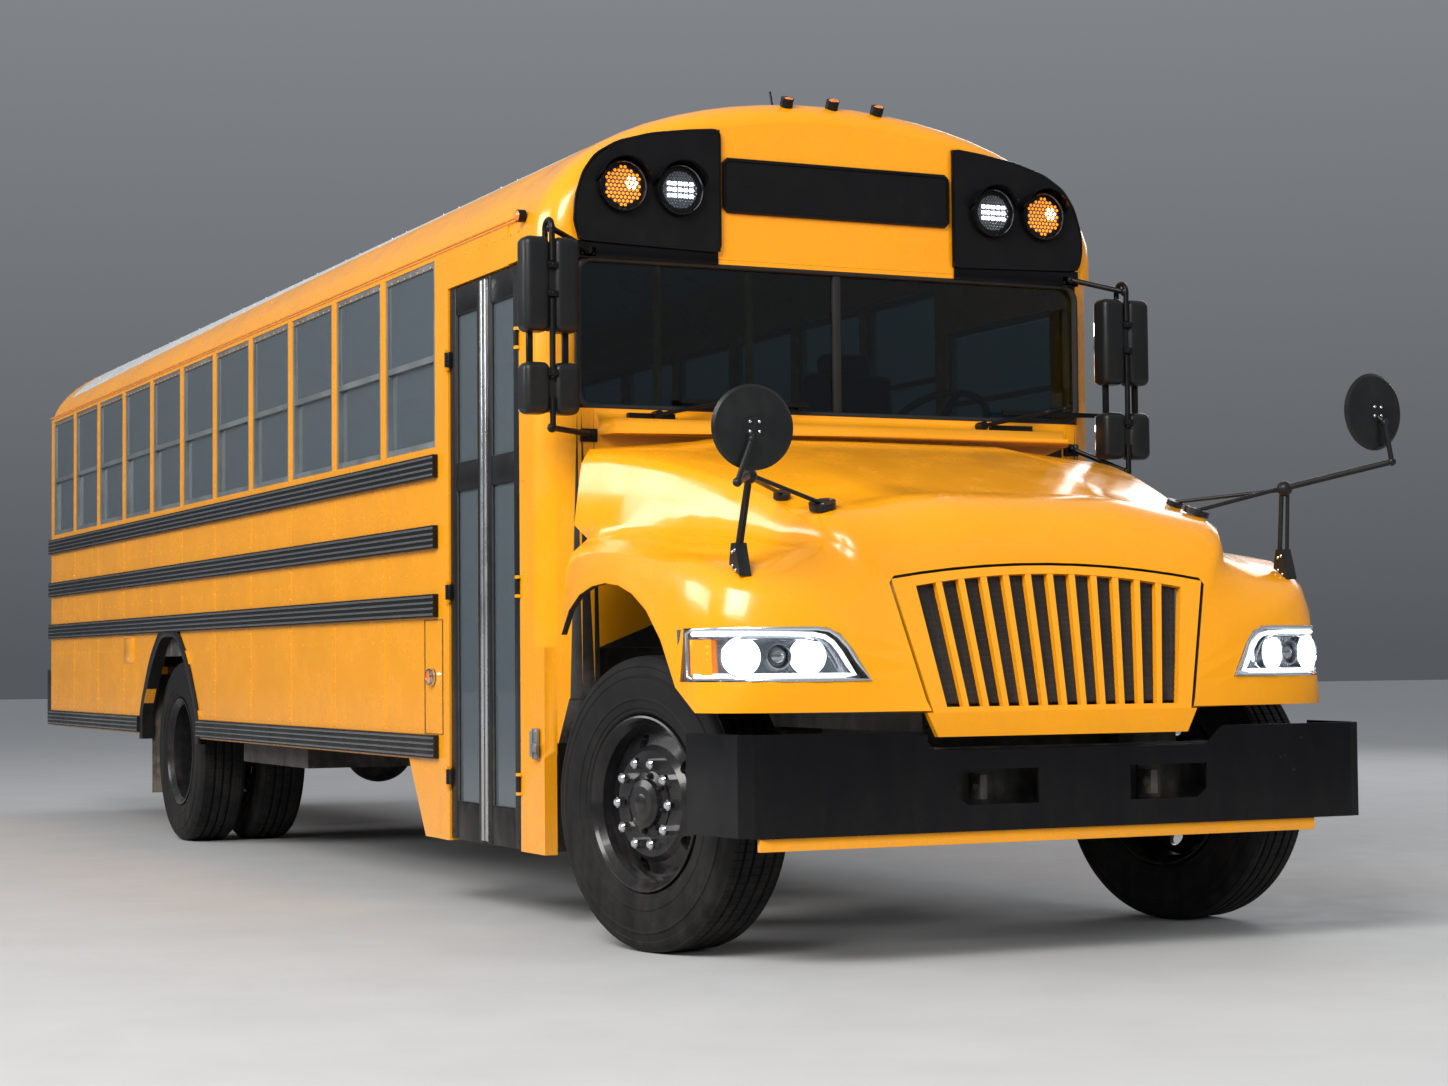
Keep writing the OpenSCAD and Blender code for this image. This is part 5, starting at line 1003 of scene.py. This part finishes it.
spots = []
for out in (-1, 1):
    start = DOOR_FRONT if out < 0 else FRONT - 1.0
    spots += [(x, out * (HALF + 0.0005), 2.640) for x in row(WALL_REAR + 0.05, start, 0.085)]
    for z in (1.745, 1.640, 1.360, 1.080, 0.720):
        spots += [(x, out * HALF, z) for x in row(WALL_REAR + 0.05, WALL_FRONT - 0.04, 0.12)
                  if not (z < 1.25 and abs(x - ARCH_MID) < 0.80)]
    for i in range(1, BAYS):
        x = WALL_FRONT - i * BAY
        for z in row(1.885, 2.655, 0.11):
            spots.append((x, out * HALF, z))
        for za, zb in ((1.285, 1.455), (1.568, 1.750), (0.705, 1.170)):
            if zb < 1.2 and abs(x - ARCH_MID) < 0.80:
                continue
            add_box(laps, (x - 0.016, out * (HALF - 0.001), za),
                    (x + 0.016, out * (HALF + 0.0012), zb), 0.0008, 1)
            for z in row(za + 0.02, zb - 0.02, 0.06):
                spots += [(x - 0.009, out * (HALF + 0.001), z), (x + 0.009, out * (HALF + 0.001), z)]
    add_box(laps, (WALL_REAR + 0.02, out * (HALF - 0.001), 2.690),
            (DOOR_FRONT + 0.02, out * (HALF + 0.014), 2.697), 0.002, 1)
stamped(painted, rivet_mesh, [Matrix.Translation(p) for p in spots])
rail_spots = []
for out in (-1, 1):
    for z in RAILS:
        rail_spots += [(x, out * (HALF + 0.022), z + dz)
                       for x in row(WALL_REAR + 0.06, WALL_FRONT - 0.06, 0.24) for dz in (0.032, 0.064)]
stamped(dark_rivets, rivet_mesh, [Matrix.Translation(p) for p in rail_spots])
RISE = 0.565
bows = []
for i in range(BAYS + 1):
    x = WALL_FRONT - i * BAY
    for k in range(4, 33):
        a = math.pi * k / 36
        y, z = -HALF * math.cos(a), 2.620 + RISE * math.sin(a)
        if z > 2.72:
            face = Matrix.Rotation(a - math.pi / 2, 4, "X") @ Matrix.Rotation(math.pi / 2, 4, "X")
            bows.append(Matrix.Translation((x, y, z)) @ face)
stamped(roof_rivets, rivet_mesh, bows)
settle("body_rivets", painted, "body_paint", "body", 180)
settle("panel_laps", laps, "body_paint", "body", 30)
settle("rail_rivets", dark_rivets, "trim_black", "body", 180)
settle("roof_bow_rivets", roof_rivets, "roof_paint", "body", 180)

# %% [markdown]
# ## Rub rail ribs and rear arch flares
# Each rub rail is a pressed black channel with raised ribs, painted lighter grey than the rail
# as a painted highlight. A black flare, eased at its corners, follows each rear wheel opening.

# %% Ribs
ribs = bmesh.new()
for out in (-1, 1):
    spans = [(z, WALL_REAR + 0.006, WALL_FRONT - 0.006) for z in RAILS]
    spans += [(0.599, ARCH_MID + 0.715, WALL_FRONT - 0.006), (0.599, WALL_REAR + 0.006, ARCH_MID - 0.715)]
    for z, x0, x1 in spans:
        for dz in (0.012, 0.036, 0.060, 0.084):
            add_box(ribs, (x0, out * (HALF + 0.020), z + dz - 0.0045),
                    (x1, out * (HALF + 0.0275), z + dz + 0.0045), 0.002, 2)

def arch(grow):
    # half outline of the wheel opening, mirrored about its middle, with eased corners
    half = [(0.640 + grow, 0.560), (0.640 + grow, 0.730), (0.400 + grow * 0.8, 1.000 + grow * 0.6),
            (0.170, 1.160 + grow)]
    corners = [Vector((-x, z)) for x, z in half] + [Vector((x, z)) for x, z in half[::-1]]
    eased = [corners[0]]
    for before, p, after in zip(corners, corners[1:], corners[2:]):
        a, b = p + (before - p) * 0.30, p + (after - p) * 0.30
        eased += [a * (1 - t) ** 2 + p * 2 * t * (1 - t) + b * t ** 2 for t in (0, 0.25, 0.5, 0.75, 1)]
    return eased + [corners[-1]]

flare = bmesh.new()
for out in (-1, 1):
    rings = []
    for grow, depth in ((-0.004, -0.060), (-0.004, 0.0075), (0.004, 0.0110), (0.060, 0.0110),
                        (0.068, 0.0080), (0.068, -0.002)):
        rings.append([flare.verts.new((ARCH_MID + p.x, out * (HALF + depth), p.y)) for p in arch(grow)])
    for k in range(len(rings)):
        a, b = rings[k], rings[(k + 1) % len(rings)]
        for i in range(len(a) - 1):
            flare.faces.new((a[i], a[i + 1], b[i + 1], b[i]))
    for end in (0, -1):
        flare.faces.new([ring[end] for ring in rings])
settle("rear_arch_flares", flare, "trim_black", "body", 35)
# the ribs' lighter grey than the black rail is a painted highlight
settle("rub_rail_ribs", ribs, "rib_black", "body", 50)

# %% [markdown]
# ## Grille screen, latches and small fittings
# A fine dark screen sits behind the grille bars, a yellow strip lies on the lower edge of the
# bumper and dark plates stand behind it. The hood is held by a latch on each side, the fuel door
# has a hinge and a catch, and a thin seam marks the battery door. The stop arm carries a white
# edge and two red lamps on each face.

# %% Small fittings
low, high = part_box("grille")
screen = bmesh.new()
made = bmesh.ops.create_grid(screen, x_segments=56, y_segments=26, size=0.5)["verts"]
for v in made:
    t, s = v.co.x, v.co.y + 0.5
    z = 0.846 + 0.500 * s
    v.co = (FRONT + 0.828 - math.tan(math.radians(10.5)) * (z - 0.846) - 0.006,
            t * 2 * (0.462 + 0.070 * s), z)
faces = screen.faces[:]
bmesh.ops.inset_individual(screen, faces=faces, thickness=0.0035, depth=-0.004)
settle("grille_screen", screen, "seal_rubber", "hood", 30, fix=False)

bumper_low, bumper_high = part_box("front_bumper")
strip, plates = bmesh.new(), bmesh.new()
add_box(strip, (bumper_high[0] - 0.0308, -1.1610, bumper_low[2] - 0.0002),
        (bumper_high[0] - 0.0112, 0.9860, bumper_low[2] + 0.0405), 0.0012)
add_box(plates, (FRONT + 0.560, -0.640, 0.450), (FRONT + 0.566, 0.640, 0.735), 0.002)
add_box(plates, (FRONT + 0.780, -1.060, 0.452), (FRONT + 0.786, 1.060, 0.700), 0.002)
settle("bumper_yellow_strip", strip, "body_paint", "body")
settle("bumper_back_plate", plates, "chassis_black", "body")

latch = bmesh.new()
for out in (-1, 1):
    y = out * (HALF + 0.004)
    x = FRONT - 0.870
    add_box(latch, (x - 0.030, y, 0.630), (x + 0.022, y + out * 0.014, 0.745), 0.004)
    add_rod(latch, (x - 0.018, y + out * 0.016, 0.640), (x - 0.018, y + out * 0.016, 0.735), 0.009, 14)
    add_box(latch, (x - 0.012, y + out * 0.010, 0.655), (x + 0.040, y + out * 0.024, 0.690), 0.004)
    for z in (0.645, 0.730):
        add_ball(latch, (x + 0.008, y + out * 0.014, z), 0.006, (1, 0.6, 1))
settle("hood_latches", latch, "window_metal", "body")

fuel = bmesh.new()
fx = FRONT - 7.670
add_box(fuel, (fx - 0.150, -HALF - 0.006, 1.010), (fx + 0.110, -HALF + 0.001, 1.172), 0.003)
add_rod(fuel, (fx - 0.130, -HALF - 0.008, 1.166), (fx + 0.090, -HALF - 0.008, 1.166), 0.006, 12)
add_ball(fuel, (fx - 0.020, -HALF - 0.006, 1.030), 0.012, (1, 0.5, 1))
settle("fuel_door", fuel, "body_paint", "body")

hatchway = bmesh.new()
cx = BATTERY_X
seam = [(cx + 0.125, -HALF - 0.001, 0.700), (cx + 0.125, -HALF - 0.001, 1.170),
        (cx - 0.100, -HALF - 0.001, 1.170), (cx - 0.100, -HALF - 0.001, 0.700)]
add_tube(hatchway, seam, 0.0025, 6, True)
settle("battery_door_seam", hatchway, "seal_rubber", "body")

arm = bmesh.new()
sign_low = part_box("stop_arm")[0]
SIGN_WIDTH = 0.4434
sx, sz, rad = sign_low[0] + SIGN_WIDTH / 2, 1.370, 0.240
def octagon(size, y):
    return [(sx + size * math.cos(math.radians(22.5 + 45 * i)), y,
             sz + size * math.sin(math.radians(22.5 + 45 * i))) for i in range(8)]
add_tube(arm, octagon(rad - 0.020, HALF + 0.0605), 0.010, 4, True, 0.25)
add_tube(arm, octagon(rad - 0.020, HALF + 0.0475), 0.010, 4, True, 0.25)
settle("stop_arm_border", arm, "sign_white", "stop_sign_arm", 30)
lights = bmesh.new()
for dz in (-0.155, 0.155):
    for y, out in ((HALF + 0.060, 1), (HALF + 0.048, -1)):
        place = Matrix.Translation((sx, y, sz + dz)) @ Matrix.Diagonal((1, out, 1, 1))
        add_turned(lights, [(0.0, 0.008), (0.022, 0.006), (0.034, 0.0), (0.034, -0.002), (0.0, -0.002)],
                   place, 28)
settle("stop_arm_lamps", lights, "lamp_red", "stop_sign_arm")

# %% [markdown]
# ## Side mirrors
# Mirror heads carry a silvered glass facing back, and clamps join them to their tubes.

# %% Mirror heads
def mirror_head(bm, x, side, y0, z0, z1):
    # two rounded shells with a recessed strip between them, where the tube passes
    for a, b, depth in ((0.000, 0.103, 0.060), (0.117, 0.220, 0.060), (0.090, 0.130, 0.045)):
        ya, yb = sorted((side * (y0 + a), side * (y0 + b)))
        round_by = 0.028 if depth > 0.05 else 0.008
        add_box(bm, (x - 0.038, ya, z0 + (0.0 if depth > 0.05 else 0.03)),
                (x + depth, yb, z1 - (0.0 if depth > 0.05 else 0.03)), round_by, 5)

heads, glass, clamp = bmesh.new(), bmesh.new(), bmesh.new()
for rel, side, y0, z0 in ((-0.600, -1, 1.170, 1.893), (-0.620, 1, 1.110, 1.790)):
    x, mid = FRONT + rel, side * (y0 + 0.110)
    mirror_head(heads, x, side, y0, z0 + 0.300, z0 + 0.650)
    mirror_head(heads, x, side, y0, z0, z0 + 0.190)
    for a, b in ((0.312, 0.638), (0.012, 0.178)):
        ya, yb = sorted((side * (y0 + 0.010), side * (y0 + 0.210)))
        add_box(glass, (x - 0.0415, ya, z0 + a), (x - 0.0370, yb, z0 + b), 0.002, 1)
    add_rod(clamp, (x + 0.050, mid, z0 - 0.050), (x + 0.050, mid, z0 + 0.060), 0.011, 14)
    add_rod(clamp, (x + 0.050, mid, z0 + 0.130), (x + 0.050, mid, z0 + 0.420), 0.011, 14)
    add_rod(clamp, (x + 0.050, mid, z0 + 0.560), (x + 0.050, mid, z0 + 0.680), 0.011, 14)
    bend = [(x + 0.050 - 0.035 * (1 - math.cos(math.radians(t))), mid,
             z0 + 0.680 + 0.035 * math.sin(math.radians(t))) for t in range(0, 181, 20)]
    add_tube(clamp, bend, 0.011, 10)
    add_rod(clamp, (x - 0.020, mid, z0 + 0.620), (x - 0.020, mid, z0 + 0.684), 0.011, 14)
    for dy in (-0.070, 0.070):
        add_box(clamp, (x - 0.012, mid + dy - 0.012, z0 + 0.180),
                (x + 0.006, mid + dy + 0.012, z0 + 0.310), 0.004)
    for dz in (0.150, 0.440, 0.545):
        add_box(clamp, (x + 0.030, mid - 0.020, z0 + dz - 0.012),
                (x + 0.064, mid + 0.020, z0 + dz + 0.012), 0.005)
        add_ball(clamp, (x + 0.064, mid, z0 + dz), 0.006, (0.5, 1, 1))
for start, end, face_y in (((-0.560, -1.280, 1.843), (-0.733, -1.060, 1.840), -1.060),
                           ((-0.560, -1.280, 2.575), (-0.733, -1.060, 2.532), -1.060),
                           ((-0.580, 1.220, 1.740), (-0.733, 1.060, 1.838), 1.060),
                           ((-0.580, 1.220, 2.470), (-0.733, 1.060, 2.531), 1.060)):
    a, b = Vector((FRONT + start[0], start[1], start[2])), Vector((FRONT + end[0], end[1], end[2]))
    add_rod(clamp, a, b, 0.011, 14)
    add_ball(clamp, a, 0.018, (1, 1, 1), 14, 8)
    add_ball(clamp, b, 0.016, (1, 1, 1), 14, 8)
    add_box(clamp, (FACE + 0.0005, face_y - 0.035, end[2] - 0.028),
            (FACE + 0.010, face_y + 0.035, end[2] + (0.016 if end[2] > 2 else 0.022)), 0.004)
    for dy in (-0.022, 0.022):
        add_ball(clamp, (FACE + 0.010, face_y + dy, end[2] - 0.012), 0.006, (0.6, 1, 1), 8, 4)
piece = settle("side_mirror_heads", heads, "mirror_plastic", "body", 50)
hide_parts("side_mirrors")
settle("side_mirror_glass", glass, "mirror_glass", "body")
settle("side_mirror_arms", clamp, "trim_black", "body")

# %% [markdown]
# ## Round mirror domes
# Each round mirror is a shallow silvered dome on the side that faces the driver, with four
# small screws in its black back. Rivets hold its bracket to the hood.

# %% Round mirror domes
domes = bmesh.new()
for out, z in ((1, 1.845), (-1, 1.720)):
    place = (Matrix.Translation((FRONT + 0.970, out * 1.212, z))
             @ Matrix.Rotation(math.radians(out * 7 - 90), 4, "Z"))
    add_turned(domes, [(0.0, -0.0508), (0.030, -0.0495), (0.052, -0.0465), (0.075, -0.0415),
                       (0.097, -0.0342), (0.118, -0.0200), (0.1295, -0.0100), (0.118, -0.012),
                       (0.0, -0.030)], place, 56)
    for k in range(4):
        a = math.radians(90 * k + 45)
        spot = place @ Vector((0.022 * math.cos(a), 0.0235, 0.022 * math.sin(a)))
        add_ball(domes, spot, 0.006, (1, 1, 1), 8, 5)
settle("round_mirror_domes", domes, "mirror_glass", "hood")

mount = bmesh.new()
for out in (-1, 1):
    for x, y, z in ((0.600, 1.0895, 1.300), (0.625, 1.0895, 1.285), (0.600, 1.0895, 1.345),
                    (0.618, 1.0895, 1.350)):
        for face in (0.0215, -0.0215):
            add_ball(mount, (FRONT + x, out * (y + face), z), 0.0065, (1, 0.5, 1), 8, 4)
    for k in range(3):
        a = math.radians(120 * k + 30)
        add_ball(mount, (FRONT + 0.550 + 0.030 * math.cos(a), out * (0.750 + 0.030 * math.sin(a)),
                         1.519 - 0.0078 * math.cos(a) - 0.0072 * math.sin(a)), 0.007, (1, 1, 0.6), 8, 4)
settle("mirror_bracket_rivets", mount, "chrome", "hood")

# %% [markdown]
# ## The floor, and the end
# The bus stands on a plain pale floor with a faint mottling.

# %% Floor and finish
floor_bm = bmesh.new()
bmesh.ops.create_grid(floor_bm, x_segments=2, y_segments=2, size=70.0)
floor_mesh = bpy.data.meshes.new("floor_plane")
floor_bm.to_mesh(floor_mesh)
floor_bm.free()
F["floor"] = finish("pale_studio_floor", (0.50, 0.505, 0.51), 0.75, drift=0.06, dust=0.0, grain=(40, 0.05))
floor_mesh.materials.append(F["floor"])
ground = bpy.data.objects.new("floor_plane", floor_mesh)
scene.collection.objects.link(ground)
